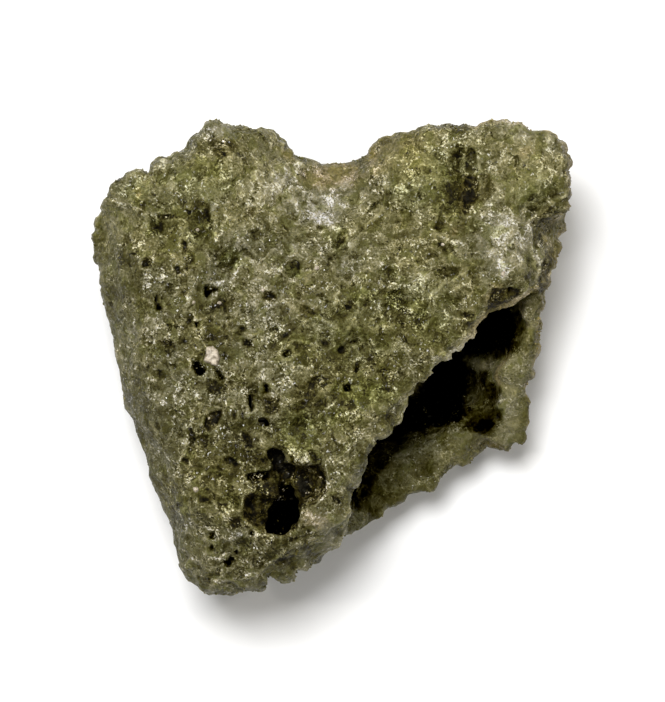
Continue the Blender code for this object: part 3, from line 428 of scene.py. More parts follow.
    (0.5, 0, ((1.71, -4.46), (2.25, -4.57), (2.09, -5), (1.65, -4.9))),
    (0.52, 0, ((0.99, -5.12), (1.43, -5.22), (1.43, -5.67), (0.99, -5.78))),
    (0.28, 0, ((0.88, -5.78), (1.54, -5.67), (1.87, -5.55), (1.65, -6.11), (0.88, -6.43))),
    (0.65, 0, ((-1.32, -5.12), (-1.1, -5.06), (-0.55, -5.55), (-0.77, -5.72), (-1.21, -5.45))),
    (0.65, 0, ((-2.42, -9.9), (-1.76, -9.96), (-1.71, -10.18), (-2.31, -10.23))),
    (0.38, 0, ((-0.11, -9.29), (0.55, -9.4), (0.6, -9.85), (0.06, -9.85))),
    (0.6, 0, ((-1.26, -9.07), (-0.99, -9.13), (-1.04, -9.4))),
    (0.42, 0, ((0.71, -7.09), (1.43, -7.21), (1.32, -7.54), (0.77, -7.42))),
    (0.38, 1, ((-2.25, 7.97), (-1.87, 7.87), (-1.87, 7.42), (-2.31, 7.54))),
    (0.42, 0, ((-4.51, 6.99), (-3.85, 7.21), (-3.85, 6.43), (-4.29, 6.33), (-4.51, 6.54))),
    (0.8, 1, ((0.33, 6.76), (0.71, 6.82), (0.77, 6.27), (0.49, 6.21), (0.33, 6.43))),
    (0.25, 0, ((0, 6.66), (1.1, 6.43), (0.99, 5.78), (0.22, 5.78))),
    (0.5, 0, ((-0.55, 6.11), (-0.22, 6.11), (-0.28, 5.78), (-0.55, 5.78))),
    (0.42, 0, ((1.32, 6.99), (1.71, 7.32), (1.93, 6.99), (1.65, 6.76))),
    (0.38, 0, ((1.65, 7.87), (2.2, 8.47), (2.64, 8.74), (2.53, 8.3), (1.98, 7.87))),
    (0.5, 1, ((-1.21, 8.63), (-0.71, 8.53), (-0.88, 8.3), (-1.21, 8.42))),
    (0.5, 1, ((-0.88, 7.32), (-0.44, 7.21), (-0.55, 6.93), (-0.88, 7.04))),
    (0.28, 0, ((-3.25, 12.21), (-2.81, 11.94), (-2.86, 11.38), (-3.19, 11.61))),
    (0.58, 0, ((-5, 6.11), (-4.4, 5.78), (-4.29, 5.45), (-4.73, 5.55))),
    (0.28, 0, ((2.58, 10.84), (2.81, 10.72), (2.86, 8.63), (2.64, 8.63))),
    (0.36, 0, ((1.1, -4.9), (1.65, -4.57), (1.93, -5.06), (1.59, -5.72), (1.16, -6.21), (0.88, -5.67))),
)
# Facets that shine, as how pale, 1 if grey, and corners.
PALE_FACETS = (
    (0.35, 1, ((-0.6, -10.12), (0.71, -9.07), (1.65, -8.25), (2.2, -9.07), (1.65, -9.4), (0.44, -10.51),
        (-0.55, -11.17))),
    (0.5, 1, ((10.95, 5.72), (11.17, 5.45), (11.44, 4.67), (11.28, 4.24), (10.95, 5.06))),
    (0.25, 0, ((0.06, 2.86), (0.49, 2.81), (1.1, 3.79), (1.65, 4.67), (1.32, 3.69), (0.71, 2.97), (0.66,
        2.15))),
    (0.3, 0, ((-2.75, -2.25), (-1.87, -2.31), (-2.31, -2.69), (-2.81, -2.81))),
    (0.7, 0, ((-6.82, 8.63), (-6.38, 8.53), (-6.49, 8.25), (-6.88, 8.36))),
    (0.95, 0, ((-6.66, 8.14), (-6.43, 8.14), (-6.38, 7.81), (-6.54, 7.81))),
    (0.5, 0, ((-6.05, 7.09), (-5.61, 7.21), (-5.5, 6.43), (-5.94, 6.33))),
    (0.9, 0, ((-2.58, 8.8), (-2.15, 8.69), (-1.81, 8.3), (-1.98, 8.2), (-2.42, 8.53))),
    (0.45, 0, ((0.44, 9.52), (1.1, 9.68), (0.99, 9.35), (0.55, 9.19))),
    (0.4, 0, ((1.21, 8.2), (1.65, 8.86), (2.09, 9.19), (1.98, 8.74), (1.54, 8.3))),
    (0.7, 0, ((-4.57, 10.06), (-4.12, 10.01), (-4.07, 9.73), (-4.46, 9.79))),
    (1, 1, ((-7.75, 2.09), (-7.21, 2.06), (-7.21, 1.95), (-7.75, 1.95))),
    (0.8, 0, ((-3.79, 3.85), (-3.52, 3.85), (-3.52, 3.58), (-3.79, 3.63))),
    (0.5, 1, ((-10.89, 1.76), (-10.51, 1.76), (-10.51, 1.38), (-10.89, 1.38))),
    (0.9, 0, ((4.18, -1.87), (4.34, -1.98), (3.85, -3.35), (3.74, -3.25))),
    (0.85, 0, ((3.46, -3.69), (3.69, -3.69), (3.25, -4.46), (2.86, -4.57), (3.08, -4.24))),
    (0.85, 0, ((2.31, -4.62), (2.48, -4.67), (2.25, -5.39), (1.98, -5.55))),
    (0.8, 0, ((1.59, -6.33), (1.76, -6.33), (1.65, -6.88), (1.49, -6.88))),
    (0.8, 0, ((8.42, 2.2), (9.24, 2.58), (9.79, 3.02), (10.45, 3.41), (10.95, 3.96), (11, 3.74), (10.45,
        3.19), (9.79, 2.81), (9.24, 2.37), (8.47, 2.04))),
    (0.55, 0, ((-6.05, 11.71), (-5.55, 11.71), (-5.5, 11.28), (-6, 11.28))),
    (0.5, 0, ((12.54, 7.97), (12.87, 7.97), (12.54, 6.76), (11.99, 5.78), (11.82, 5.22), (11.71, 5.45),
        (12.1, 6.43))),
    (0.75, 0, ((9.13, 5.22), (9.4, 5.22), (9.46, 4.34), (9.19, 4.24))),
    (0.5, 0, ((8.58, 5.88), (9.24, 5.67), (9.13, 5.12), (8.69, 5.33))),
    (0.5, 1, ((-1.32, 8.3), (-0.77, 8.2), (-0.11, 7.42), (-0.33, 7.09), (-0.99, 7.42))),
    (0.45, 1, ((-2.31, 5.88), (-1.76, 6.11), (-1.76, 5.55), (-2.42, 5.45))),
    (0.5, 0, ((-3.52, -4.57), (-3.08, -4.24), (-3.19, -4.79), (-3.52, -5.12))),
    (0.6, 0, ((3.52, 5.45), (3.74, 5.22), (3.69, 4.9), (3.52, 5.12))),
    (0.45, 0, ((4.84, 4.67), (5.28, 4.46), (5.06, 4.01), (4.73, 4.24))),
    (0.6, 0, ((-3.74, -8.42), (-3.41, -8.09), (-3.3, -8.3))),
    (0.5, 0, ((-2.64, -9.62), (-2.31, -9.52), (-2.42, -9.85))),
)


def only(piece):
    """Selects one piece alone and makes it the one that operators act on."""
    bpy.ops.object.select_all(action="DESELECT")
    piece.select_set(True)
    bpy.context.view_layer.objects.active = piece
    return piece


def shape(piece, kind, **settings):
    """Gives a piece one modifier and applies it."""
    step = piece.modifiers.new(kind.lower(), kind)
    for name, value in settings.items():
        setattr(step, name, value)
    bpy.ops.object.modifier_apply(modifier=step.name)


def read(data, what, width=3):
    """One value of every vertex or face, as an array."""
    out = np.empty(len(data) * width, np.float32)
    data.foreach_get(what, out)
    return out.reshape(-1, width).astype(float) if width > 1 else out.astype(float)


def new_thing(name, its_mesh):
    """Puts a new object in the scene, made of a mesh, a lamp or a lens."""
    made = bpy.data.objects.new(name, its_mesh)
    bpy.context.scene.collection.objects.link(made)
    return made


def pattern(kind, size, **settings):
    """A solid texture whose grains are this many millimetres wide."""
    texture = bpy.data.textures.new(kind.lower(), kind)
    texture.noise_scale = size
    for name, value in settings.items():
        setattr(texture, name, value)
    return texture


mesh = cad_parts["trinitite"].data.copy()
mesh.materials.clear()
glass = new_thing("glass_crust", mesh)
only(glass)
mesh.transform(Matrix.Scale(TO_MM, 4))
bpy.ops.object.mode_set(mode="EDIT")
bpy.ops.mesh.select_all(action="SELECT")
bpy.ops.mesh.remove_doubles(threshold=WELD)
bpy.ops.object.mode_set(mode="OBJECT")
shape(glass, "SUBSURF", levels=1, render_levels=1)
shape(glass, "REMESH", mode="VOXEL", voxel_size=SKIN_MESH)
shape(glass, "SMOOTH", factor=0.5, iterations=2)

mesh = glass.data
facing = read(mesh.polygons, "normal")
middle = read(mesh.polygons, "center")
lid = (facing[:, 2] > LID_FACING_UP) & (middle[:, 2] > LID_FROM_HEIGHT)
bpy.ops.object.mode_set(mode="EDIT")
bpy.ops.mesh.select_all(action="DESELECT")
bpy.ops.object.mode_set(mode="OBJECT")
mesh.polygons.foreach_set("select", lid)
bpy.ops.object.mode_set(mode="EDIT")
bpy.ops.mesh.subdivide(number_cuts=1, smoothness=0.6)
bpy.ops.object.mode_set(mode="OBJECT")

smooth_skin = read(mesh.vertices, "co")
outward = read(mesh.vertices, "normal")

for texture, depth, middle_level in (
    (pattern("VORONOI", 1.3, noise_intensity=1.0), 0.20, 0.4),
    (pattern("CLOUDS", 0.55, noise_depth=1), 0.16, 0.5),
    (pattern("CLOUDS", 0.22, noise_depth=1), 0.12, 0.5),
):
    shape(glass, "DISPLACE", texture=texture, texture_coords="LOCAL", strength=depth, mid_level=middle_level)
lift = ((read(mesh.vertices, "co") - smooth_skin) * outward).sum(1)

# Places on the skin are where they show seen from 300 mm over the lid. The ovals' edges wander, as torn
# glass does.
z, up = smooth_skin[:, 2], outward[:, 2]
nearer = VIEW_FROM / (LID_HEIGHT + VIEW_FROM - z)
seen_x, seen_y = smooth_skin[:, 0] * nearer, smooth_skin[:, 1] * nearer
wander = np.array([
    0.34 * noise.noise_vector(p / 0.8) + 0.16 * noise.noise_vector(p / 0.3)
    for p in map(Vector, smooth_skin)
])
x, y = seen_x + wander[:, 0], seen_y + wander[:, 1]


def ease(value, low, high):
    """0 below low, 1 above high, and smooth between."""
    t = np.clip((value - low) / (high - low), 0.0, 1.0)
    return t * t * (3.0 - 2.0 * t)


def oval(at_x, at_y, half_x, half_y, turn=0.0):
    """1 at the middle of an oval, 0 at its edge and below 0 outside it."""
    c, s = math.cos(math.radians(turn)), math.sin(math.radians(turn))
    u, v = x - at_x, y - at_y
    return 1.0 - np.hypot((u * c + v * s) / half_x, (v * c - u * s) / half_y)


def strongest(places, low, high):
    """The strongest of several ovals at each point, where each fades to nothing about its edge."""
    found = np.zeros(len(x))
    for place in places:
        ends = place[:5] if len(place) > 5 else place[:4]
        strength = place[5] if len(place) > 5 else place[4]
        found = np.maximum(found, strength * ease(oval(*ends), low, high))
    return found


def from_line(u, v, start, end):
    """How far points lie from a straight line between two places, in millimetres."""
    (x0, y0), (x1, y1) = start, end
    share = ((u - x0) * (x1 - x0) + (v - y0) * (y1 - y0)) / ((x1 - x0) ** 2 + (y1 - y0) ** 2)
    share = np.clip(share, 0.0, 1.0)
    return np.hypot(u - x0 - share * (x1 - x0), v - y0 - share * (y1 - y0))


def to_corners(corners, edge):
    """How far inside a facet's wandering edge the skin's points are, in millimetres, below 0 outside."""
    to_edge = np.full(len(x), -1.0)
    (low_x, low_y), (high_x, high_y) = np.min(corners, 0) - 0.8, np.max(corners, 0) + 0.8
    some = np.flatnonzero((seen_x > low_x) & (seen_x < high_x) & (seen_y > low_y) & (seen_y < high_y))
    u, v = seen_x[some] + edge * wander[some, 0], seen_y[some] + edge * wander[some, 1]
    inside = np.zeros(len(some), bool)
    near = np.ones(len(some))
    for start, end in zip(corners, corners[1:] + corners[:1]):
        (x0, y0), (x1, y1) = start, end
        near = np.minimum(near, from_line(u, v, start, end))
        if y0 != y1:
            inside ^= ((y0 > v) != (y1 > v)) & (u < (x1 - x0) * (v - y0) / (y1 - y0) + x0)
    to_edge[some] = np.where(inside, near, -near)
    return to_edge


in_hollow = ease(oval(*HOLLOW), 0.0, 0.1) * ease(HOLLOW_CEILING - z, 0.0, 0.6)
middle_x, middle_y = x - HOLLOW_MIDDLE[0], y - HOLLOW_MIDDLE[1]
away = outward[:, 0] * middle_x + outward[:, 1] * middle_y
walls_out = ease(away / np.hypot(middle_x, middle_y), 0.05, 0.4)
under = ease(-up, 0.3, 0.6) * ease(3.6 - z, 0.0, 0.6)
inner = in_hollow * (1.0 - walls_out) * (1.0 - under)
skin = ease(up, -0.25, 0.2) * ease(z, 3.0, 5.0) * (1.0 - inner)

burst = strongest(BURST_BUBBLES, -0.12, 0.22) * skin
# The holes' darkness is shade painted into them.
holes = strongest(HOLES, -0.2, 0.3) * skin
pale = strongest(FROSTED, -0.1, 0.5) * skin
# Painted highlights along the torn edge of the lid.
pale = np.maximum(pale, strongest(PAINTED_TORN_EDGE_HIGHLIGHTS, -0.3, 0.3) * ease(z, 8.5, 9.5))
tan = strongest(TAN_PLACES, 0.0, 0.6) * skin
grey = strongest(GREY_PLACES, 0.0, 0.6) * (1.0 - inner)
green = strongest(GREEN_PLACES, 0.0, 0.6) * skin
broad = sum(amount * ease(oval(*ends), 0.0, 0.8) for *ends, amount in BROAD_SHADES)

sunk = np.zeros(len(x))
for bx, by, half_x, half_y, turn, _, deep in BURST_BUBBLES + HOLES:
    inside = oval(bx, by, half_x, half_y, turn)
    sunk -= deep * ease(inside, -0.1, 0.5)
brown, rims, facets, lit = np.zeros((4, len(x)))
over_lid = ease(z, 8.0, 9.0) * ease(up, -0.25, 0.2)
for darkness, is_brown, corners in DARK_FACETS:
    to_edge = to_corners(corners, 0.32)
    filled = darkness * ease(to_edge, -0.06, 0.13) * over_lid
    # The darkest facets that are not brown are holes, with their shade painted black.
    if darkness > 0.7 and not is_brown:
        holes = np.maximum(holes, darkness * ease(to_edge, 0.0, 0.12) * over_lid)
    else:
        facets = np.maximum(facets, (1.0 if is_brown else 0.85) * filled)
    brown = np.maximum(brown, is_brown * filled)
    # A painted highlight on the rim round each facet.
    rim = ease(0.09 - np.abs(to_edge + 0.1), 0.0, 0.07)
    rims = np.maximum(rims, rim * min(darkness, 0.8) * over_lid)
    sunk -= (0.06 + 0.3 * darkness**2) * ease(to_edge, -0.04, 0.16)
for strength, corners in LIT_INSIDE:
    lit = np.maximum(lit, strength * ease(to_corners(corners, 1.0), -0.35, 0.45))
lid_rim = ease(to_corners(LID_RIM, 0.7), -0.2, 0.3) * (1.0 - inner) * ease(z, 5.0, 7.0)
for paleness, is_grey, corners in PALE_FACETS:
    filled = paleness * ease(to_corners(corners, 0.3), -0.05, 0.06) * over_lid
    pale = np.maximum(pale, filled)
    grey = np.maximum(grey, is_grey * filled)
lumps = np.zeros(len(x))
for bx, by, half_x, half_y, turn, high in INNER_LUMPS:
    lumps = np.maximum(lumps, high * ease(oval(bx, by, half_x, half_y, turn), -0.1, 1.0))

seam_x, seam_y = seen_x + 0.4 * wander[:, 0], seen_y + 0.4 * wander[:, 1]
# Each step is sunk, and a shadow is painted on the slope below its ridge.
step_down, step_painted_shadow = np.zeros(len(x)), np.zeros(len(x))
for x0, y0, x1, y1, reach, drop, shadow in STEPS:
    long = math.hypot(x1 - x0, y1 - y0)
    along = ((seam_x - x0) * (x1 - x0) + (seam_y - y0) * (y1 - y0)) / long**2
    across = ((seam_x - x0) * (y1 - y0) - (seam_y - y0) * (x1 - x0)) / long * (-1.0 if reach < 0 else 1.0)
    held = ease(along, -0.05, 0.12) * ease(1.0 - along, -0.05, 0.12)
    held = held * ease(across, -0.06, 0.06) * (1.0 - across / abs(reach))
    step_down = np.maximum(step_down, drop * np.maximum(held, 0.0))
    step_painted_shadow = np.maximum(step_painted_shadow, 1.4 * shadow * np.clip(held, 0.0, 1.0) ** 1.5)
sunk -= step_down
painted_step_shadow = step_painted_shadow * skin

seam = np.full(len(x), np.inf)
for line in PALE_LINES:
    for start, end in zip(line, line[1:]):
        seam = np.minimum(seam, from_line(seam_x, seam_y, start, end))
seam = ease(0.13 - seam, 0.0, 0.1) * skin
sunk += 0.07 * seam

# The lumps along the edge stand where the outline is, seen from above.
swell = np.zeros(len(x))
on_wall = ease(0.95 - np.abs(up), 0.0, 0.3) * np.maximum(1.0 - inner, ease(z, 8.4, 9.2))
for bx, by, radius, high in EDGE_LUMPS:
    far = np.hypot(seen_x - bx, seen_y - by) / (1.1 * radius)
    lump = high * np.clip(1.0 - far**2, 0.0, 1.0) ** (0.5 if high > 0.0 else 1.5) * on_wall
    swell = np.where(np.abs(lump) > np.abs(swell), lump, swell)

calmer = 0.75 * np.maximum(burst, 0.6 * np.maximum(inner, 0.7 * lid_rim))
on_inner_wall = ease(up, -0.1, 0.3) * (1.0 - skin) * ease(z, 2.0, 3.0)
depth = lift * (1.0 - calmer) + sunk * skin + swell + lumps * on_inner_wall
spot = smooth_skin + outward * depth[:, None]
spot[:, 2] = np.maximum(spot[:, 2], 0.0)
mesh.vertices.foreach_set("co", spot.astype(np.float32).ravel())

# What the material reads at each point: painted shade in the skin's troughs and painted light on its crests,
# with broad lighter and darker patches, then how dark and how pale the glass is, then its hue, then how
# smooth and sharp it is. Shade is painted black into the hollow as it shows from above, with painted light
# where light falls in at the broken corner, and the hollow is only dim under the lid, seen from the side.
painted_relief_shade_and_tone = np.clip(0.5 + lift * (1.0 - burst) / 0.7 + 0.16 * rims, 0.0, 1.0)
painted_relief_shade_and_tone = painted_relief_shade_and_tone + broad * skin + 0.5 * lit**2 * inner
# The glass is darker in the burst bubbles and facets; shade is painted into the holes, below the steps and in
# the hollow, except where the hollow is painted lit.
dark = np.maximum.reduce([0.45 * burst, facets, holes, painted_step_shadow, inner * (1.0 - lit)])
# Under the lid the painted shade is eased, so the hollow shows dim from the side.
toward_corner = 0.78 * seen_x - 0.62 * seen_y
under_lid = inner * np.maximum(ease(-up, 0.1, 0.5), ease(3.6 - toward_corner, 0.0, 1.5))
dark = np.where(under_lid > 0, np.minimum(dark, 1.0 - 0.62 * under_lid), dark)
# A painted highlight on the torn edge of the lid, strongest on its faces that turn sideways.
edge_on = ease(0.45 - np.abs(up - 0.1), 0.0, 0.3)
torn_edge_highlight = ease(0.84 * outward[:, 0] - 0.55 * outward[:, 1], 0.25, 0.7) * ease(z, 8.6, 9.4)
torn_edge_highlight = torn_edge_highlight * ease(oval(5.0, -3.4, 8.2, 1.5, 57.0), 0.0, 0.3)
grey = np.maximum.reduce([grey, 0.5 * lid_rim, inner * ease(oval(7.0, -5.0, 5.5, 4.0), 0.0, 0.5)])
pale = np.maximum.reduce([pale, 0.16 * lid_rim, 0.55 * seam, 0.4 * rims, torn_edge_highlight * (0.35 + 0.65 * edge_on)])
tan = np.maximum.reduce([tan, 0.8 * brown, 0.9 * ease(0.8 - up, 0.2, 0.6) * ease(x, 6.0, 9.0)])
sharp = ease(z, 7.5, 10.5) * (1.0 - 0.75 * lid_rim) * (1.0 - 0.4 * ease(-outward[:, 0], 0.25, 0.6))
matt = np.maximum(inner, holes)


def keep(its_mesh, each=1, **layers):
    """Keeps sets of three numbers on a mesh, each set repeated for so many vertices in turn."""
    for name, values in layers.items():
        layer = its_mesh.attributes.new(name, "FLOAT_VECTOR", "POINT")
        numbers = np.repeat(np.stack(values, 1), each, 0)
        layer.data.foreach_set("vector", numbers.astype(np.float32).ravel())


keep(mesh, tone=(painted_relief_shade_and_tone, dark, pale), hue=(tan, grey, green), place=(matt, burst, sharp))
mesh.transform(Matrix.Scale(1.0 / TO_MM, 4))
bpy.ops.object.shade_smooth()


def linear(code):
    """An sRGB hex colour as the linear colour that shaders use."""
    parts = [int(code[i : i + 2], 16) / 255.0 for i in (1, 3, 5)]
    return [p / 12.92 if p <= 0.04045 else ((p + 0.055) / 1.055) ** 2.4 for p in parts] + [1.0]


def node(tree, kind, *values, named=None, out=0, **settings):
    """Adds a node with its settings, sets or links its inputs by place and by name, and gives one output."""
    new = tree.nodes.new("ShaderNode" + kind)
    for name, value in settings.items():
        setattr(new, name, value)
    for key, value in [*enumerate(values), *(named or {}).items()]:
        if isinstance(value, bpy.types.NodeSocket):
            tree.links.new(value, new.inputs[key])
        else:
            new.inputs[key].default_value = value
    return new.outputs[out] if len(new.outputs) else new


# Olive glass with iron in it, fused from quartz and feldspar sand: clear and dark where it flowed smooth,
# pale and sugary where unmelted grains stand in it, crossed by thin pale ridges, with pinpoint glints from
# the grains' faces: some from the lamps in a clear coat, and some painted in as pale specks.
fused_glass = bpy.data.materials.new("fused_sand_glass")
fused_glass.use_nodes = True
tree = fused_glass.node_tree
tree.nodes.clear()
EASED = {"interpolation_type": "SMOOTHSTEP"}  # for a range that eases into both its ends
HALVES = (0.5, 0.5, 0.5)


def times(*parts):
    """The product of several numbers or links."""
    total = parts[0]
    for part in parts[1:]:
        total = node(tree, "Math", total, part, operation="MULTIPLY")
    return total


def added(*parts):
    """The sum of (source, share, level): each source less its level, times its share."""
    total = 0.0
    for source, share, level in parts:
        over = node(tree, "Math", source, level, operation="SUBTRACT")
        total = node(tree, "Math", over, share, total, operation="MULTIPLY_ADD")
    return total


def three(name):
    """The three numbers kept in one of the mesh's layers."""
    kept = node(tree, "Attribute", attribute_name=name, out="Vector")
    return node(tree, "SeparateXYZ", kept).node.outputs


def cells(where, size):
    """Angular cells of a size in millimetres: their colours, three numbers each, and nearness of edges."""
    near = {"Vector": where, "Scale": 1 / size}
    colours = node(tree, "TexVoronoi", named=near, out="Color")
    edge = node(tree, "TexVoronoi", named=near, feature="DISTANCE_TO_EDGE")
    return colours, node(tree, "SeparateColor", colours).node.outputs, edge


in_mm = node(tree, "TexCoord", out="Object")
in_mm = node(tree, "VectorMath", in_mm, named={"Scale": TO_MM}, operation="SCALE")
swirl = node(tree, "TexNoise", named={"Vector": in_mm, "Scale": 1 / 0.9, "Detail": 2.0}, out="Color")
swirl = node(tree, "VectorMath", swirl, HALVES, operation="SUBTRACT")
flowed = node(tree, "VectorMath", swirl, (1.1, 1.1, 1.1), in_mm, operation="MULTIPLY_ADD")

painted_relief_shade_at, dark_at, pale_at = three("tone")
tan_at, grey_at, green_at = three("hue")
inside_at, smooth_at, sharp_at = three("place")

# Soft patterns, as where they are read, their size in millimetres, detail and roughness. The finest, 0.12
# mm, is the width of a sand grain. The widest, 1.6 to 2.4 mm, are the flows in which the melt ran together.
patches, mottle, grain, sugary, windows, gathered, warm = (
    node(tree, "TexNoise", named={"Vector": where, "Scale": 1 / size, "Detail": detail, "Roughness": rough})
    for where, size, detail, rough in (
        (in_mm, 1.6, 2.0, 0.55),
        (flowed, 0.42, 2.0, 0.55),
        (in_mm, 0.12, 2.0, 0.7),
        (flowed, 1.9, 3.0, 0.55),
        (flowed, 0.85, 1.0, 0.55),
        (flowed, 0.5, 1.0, 0.55),
        (in_mm, 2.4, 2.0, 0.55),
    )
)
sugary = node(tree, "MapRange", sugary, 0.42, 0.6, **EASED)
windows = node(tree, "MapRange", windows, 0.54, 0.62, **EASED)
gathered = node(tree, "MapRange", gathered, 0.44, 0.62, **EASED)
warm = node(tree, "MapRange", warm, 0.4, 0.6, **EASED)
mottled = node(tree, "MapRange", mottle, 0.3, 0.7, 1.25, 0.7, **EASED)
deep = node(tree, "MapRange", dark_at, 0.65, 0.85, 0.0, 1.2, **EASED)
dark_at = times(dark_at, node(tree, "Math", mottled, deep, operation="MAXIMUM"))

# Broken faces: shards of about 1 mm, flakes of half a millimetre, chips of 0.3 mm and grit of 0.075 mm, and
# the long narrow streaks along which the glass drew out.
ragged = node(tree, "TexNoise", named={"Vector": in_mm, "Scale": 1 / 0.16, "Detail": 1.0}, out="Color")
ragged = node(tree, "VectorMath", ragged, (0.16, 0.16, 0.16), flowed, operation="MULTIPLY_ADD")
shard_turn, shard, shard_edge = cells(ragged, 0.95)
chip_turn, chip, chip_edge = cells(ragged, 0.30)
grit_turn, grit, _ = cells(in_mm, 0.075)
slant = {"Vector": flowed, "Axis": (0.1, 0.2, 1.0), "Angle": 0.7}
slanted = node(tree, "VectorRotate", named=slant)
slanted = node(tree, "VectorMath", slanted, (1 / 0.24, 1 / 0.055, 1 / 0.10), operation="MULTIPLY")
_, streak, _ = cells(slanted, 1.0)
_, flake, _ = cells(ragged, 0.52)
creased = {"Vector": in_mm, "Scale": 1 / 0.55, "Detail": 3.0, "Roughness": 0.6, "Lacunarity": 2.2}
crease = node(tree, "TexNoise", named={**creased, "Distortion": 1.2}, noise_dimensions="3D")
hair = node(tree, "Math", crease, 0.5, operation="SUBTRACT")
hair = node(tree, "Math", hair, operation="ABSOLUTE")
hair = node(tree, "MapRange", hair, 0.0, 0.018, 1.0, 0.0, **EASED)

ridge = times(
    node(tree, "MapRange", shard_edge, 0.0, 0.08, 1.0, 0.0, **EASED),
    node(tree, "MapRange", mottle, 0.42, 0.56, **EASED),
)
web = times(
    node(tree, "MapRange", chip_edge, 0.0, 0.20, 1.0, 0.0, **EASED),
    node(tree, "MapRange", chip[0], 0.3, 0.7, **EASED),
)
crisp = times(
    node(tree, "MapRange", windows, 0.0, 1.0, 1.0, 0.6, **EASED),
    node(tree, "MapRange", sharp_at, 0.0, 1.0, 0.42, 1.0, **EASED),
    node(tree, "MapRange", smooth_at, 0.0, 0.6, 1.0, 0.75, **EASED),
)
sugar = times(
    node(tree, "MapRange", sugary, 0.0, 1.0, 0.6, 1.2, **EASED),
    crisp,
    node(tree, "MapRange", gathered, 0.0, 1.0, 0.5, 1.45, **EASED),
)
# Painted glints: pale specks on a few grit cells, with more of them in the dark glass.
painted_glint = times(
    node(tree, "MapRange", grit[0], 0.8, 0.95, **EASED),
    gathered,
    times(sugar, node(tree, "MapRange", dark_at, 0.3, 0.8, 1.0, 2.2, **EASED)),
)
line = times(
    node(tree, "MapRange", streak[0], 0.78, 0.92, **EASED),
    node(tree, "MapRange", gathered, 0.0, 1.0, 0.25, 1.0, **EASED),
    sugar,
)
gap = times(node(tree, "MapRange", grit[0], 0.0, 0.14, 1.0, 0.0, **EASED), crisp)
fleck = times(node(tree, "MapRange", chip[2], 0.0, 0.16, 1.0, 0.0, **EASED), crisp)
grain_swing, flake_swing, chip_swing = (
    times(node(tree, "Math", source, 0.5, operation="SUBTRACT"), where)
    for source, where in ((grain, sugar), (flake[0], crisp), (chip[1], crisp))
)

shade = added(
    (patches, 0.12, 0.5),
    (sugary, 0.06, 0.5),
    (mottle, 0.14, 0.5),
    (windows, -0.06, 0.25),
    (grain_swing, 1.2, 0.0),
    (times(hair, crisp), 0.15, 0.1),
    (flake_swing, 0.09, 0.0),
    (fleck, -0.20, 0.08),
    (painted_glint, 0.26, 0.06),
    (line, 0.23, 0.06),
    (gap, -0.12, 0.1),
    (times(ridge, crisp), 0.16, 0.06),
    (times(web, sugar), 0.13, 0.2),
    (shard[0], 0.10, 0.5),
    (chip_swing, 0.11, 0.0),
    (painted_relief_shade_at, 0.24, 0.5),
    (dark_at, -0.55, 0.0),
    (pale_at, 0.34, 0.0),
    (tan_at, 0.08, 0.0),
    (grey_at, 0.04, 0.0),
)
MIDDLE_SHADE = 0.438
shade = node(tree, "Math", shade, MIDDLE_SHADE, operation="ADD")
colour = node(tree, "ValToRGB", shade)
GLASS_SHADES = (
    (0.0, "#000000"),
    (0.08, "#0b0600"),
    (0.17, "#1d1901"),
    (0.26, "#2f2b0e"),
    (0.35, "#413d1f"),
    (0.44, "#525031"),
    (0.53, "#635f42"),
    (0.62, "#757153"),
    (0.73, "#8a8569"),
    (0.85, "#a09b81"),
    (1.0, "#c8c5b0"),
)
stops = colour.node.color_ramp.elements
while len(stops) < len(GLASS_SHADES):
    stops.new(0.5)
for stop, (at, code) in zip(stops, GLASS_SHADES):
    stop.position = at
    stop.color = linear(code)
for strength, tint in (
    (tan_at, (1.08, 0.96, 0.86, 1.0)),
    (grey_at, (0.985, 1.0, 1.26, 1.0)),
    (green_at, (0.94, 1.02, 0.72, 1.0)),
    (windows, (0.97, 1.0, 0.80, 1.0)),
    (warm, (1.02, 1.0, 0.88, 1.0)),
):
    tinted = {0: strength, 6: colour, 7: tint}
    colour = node(tree, "Mix", named=tinted, out=2, data_type="RGBA", blend_type="MULTIPLY")

normal = node(tree, "Bump", named={"Strength": 0.6, "Distance": 0.05 / TO_MM, "Height": grain})
for turn, most in ((shard_turn, 0.25), (chip_turn, 0.35), (grit_turn, 0.5)):
    turn = node(tree, "VectorMath", turn, HALVES, operation="SUBTRACT")
    normal = node(tree, "VectorMath", turn, (most, most, most), normal, operation="MULTIPLY_ADD")
normal = node(tree, "VectorMath", normal, operation="NORMALIZE")
glint = times(
    node(tree, "MapRange", dark_at, 0.2, 0.5, 1.0, 0.25, **EASED),
    node(tree, "MapRange", grit[1], 0.88, 0.92, **EASED),
    node(tree, "MapRange", inside_at, 0.0, 0.5, 1.0, 0.0, **EASED),
    node(tree, "MapRange", smooth_at, 0.1, 0.6, 1.0, 0.3, **EASED),
)
shader = node(
    tree,
    "BsdfPrincipled",
    named={
        "Base Color": colour,
        "Roughness": node(tree, "MapRange", smooth_at, 0.0, 1.0, 0.6, 0.4, **EASED),
        "IOR": 1.5,
        "Normal": normal,
        "Specular IOR Level": 0.12,
        "Specular Tint": (1.0, 0.92, 0.6, 1.0),
        "Subsurface Weight": 0.35,
        "Subsurface Radius": (1.0, 0.9, 0.35),
        "Subsurface Scale": 0.5 / TO_MM,
        "Coat Weight": glint,
        "Coat Roughness": 0.09,
        "Coat Tint": (1.0, 0.95, 0.78, 1.0),
        "Coat Normal": normal,
    },
)
node(tree, "OutputMaterial", named={"Surface": shader})
mesh.materials.append(fused_glass)

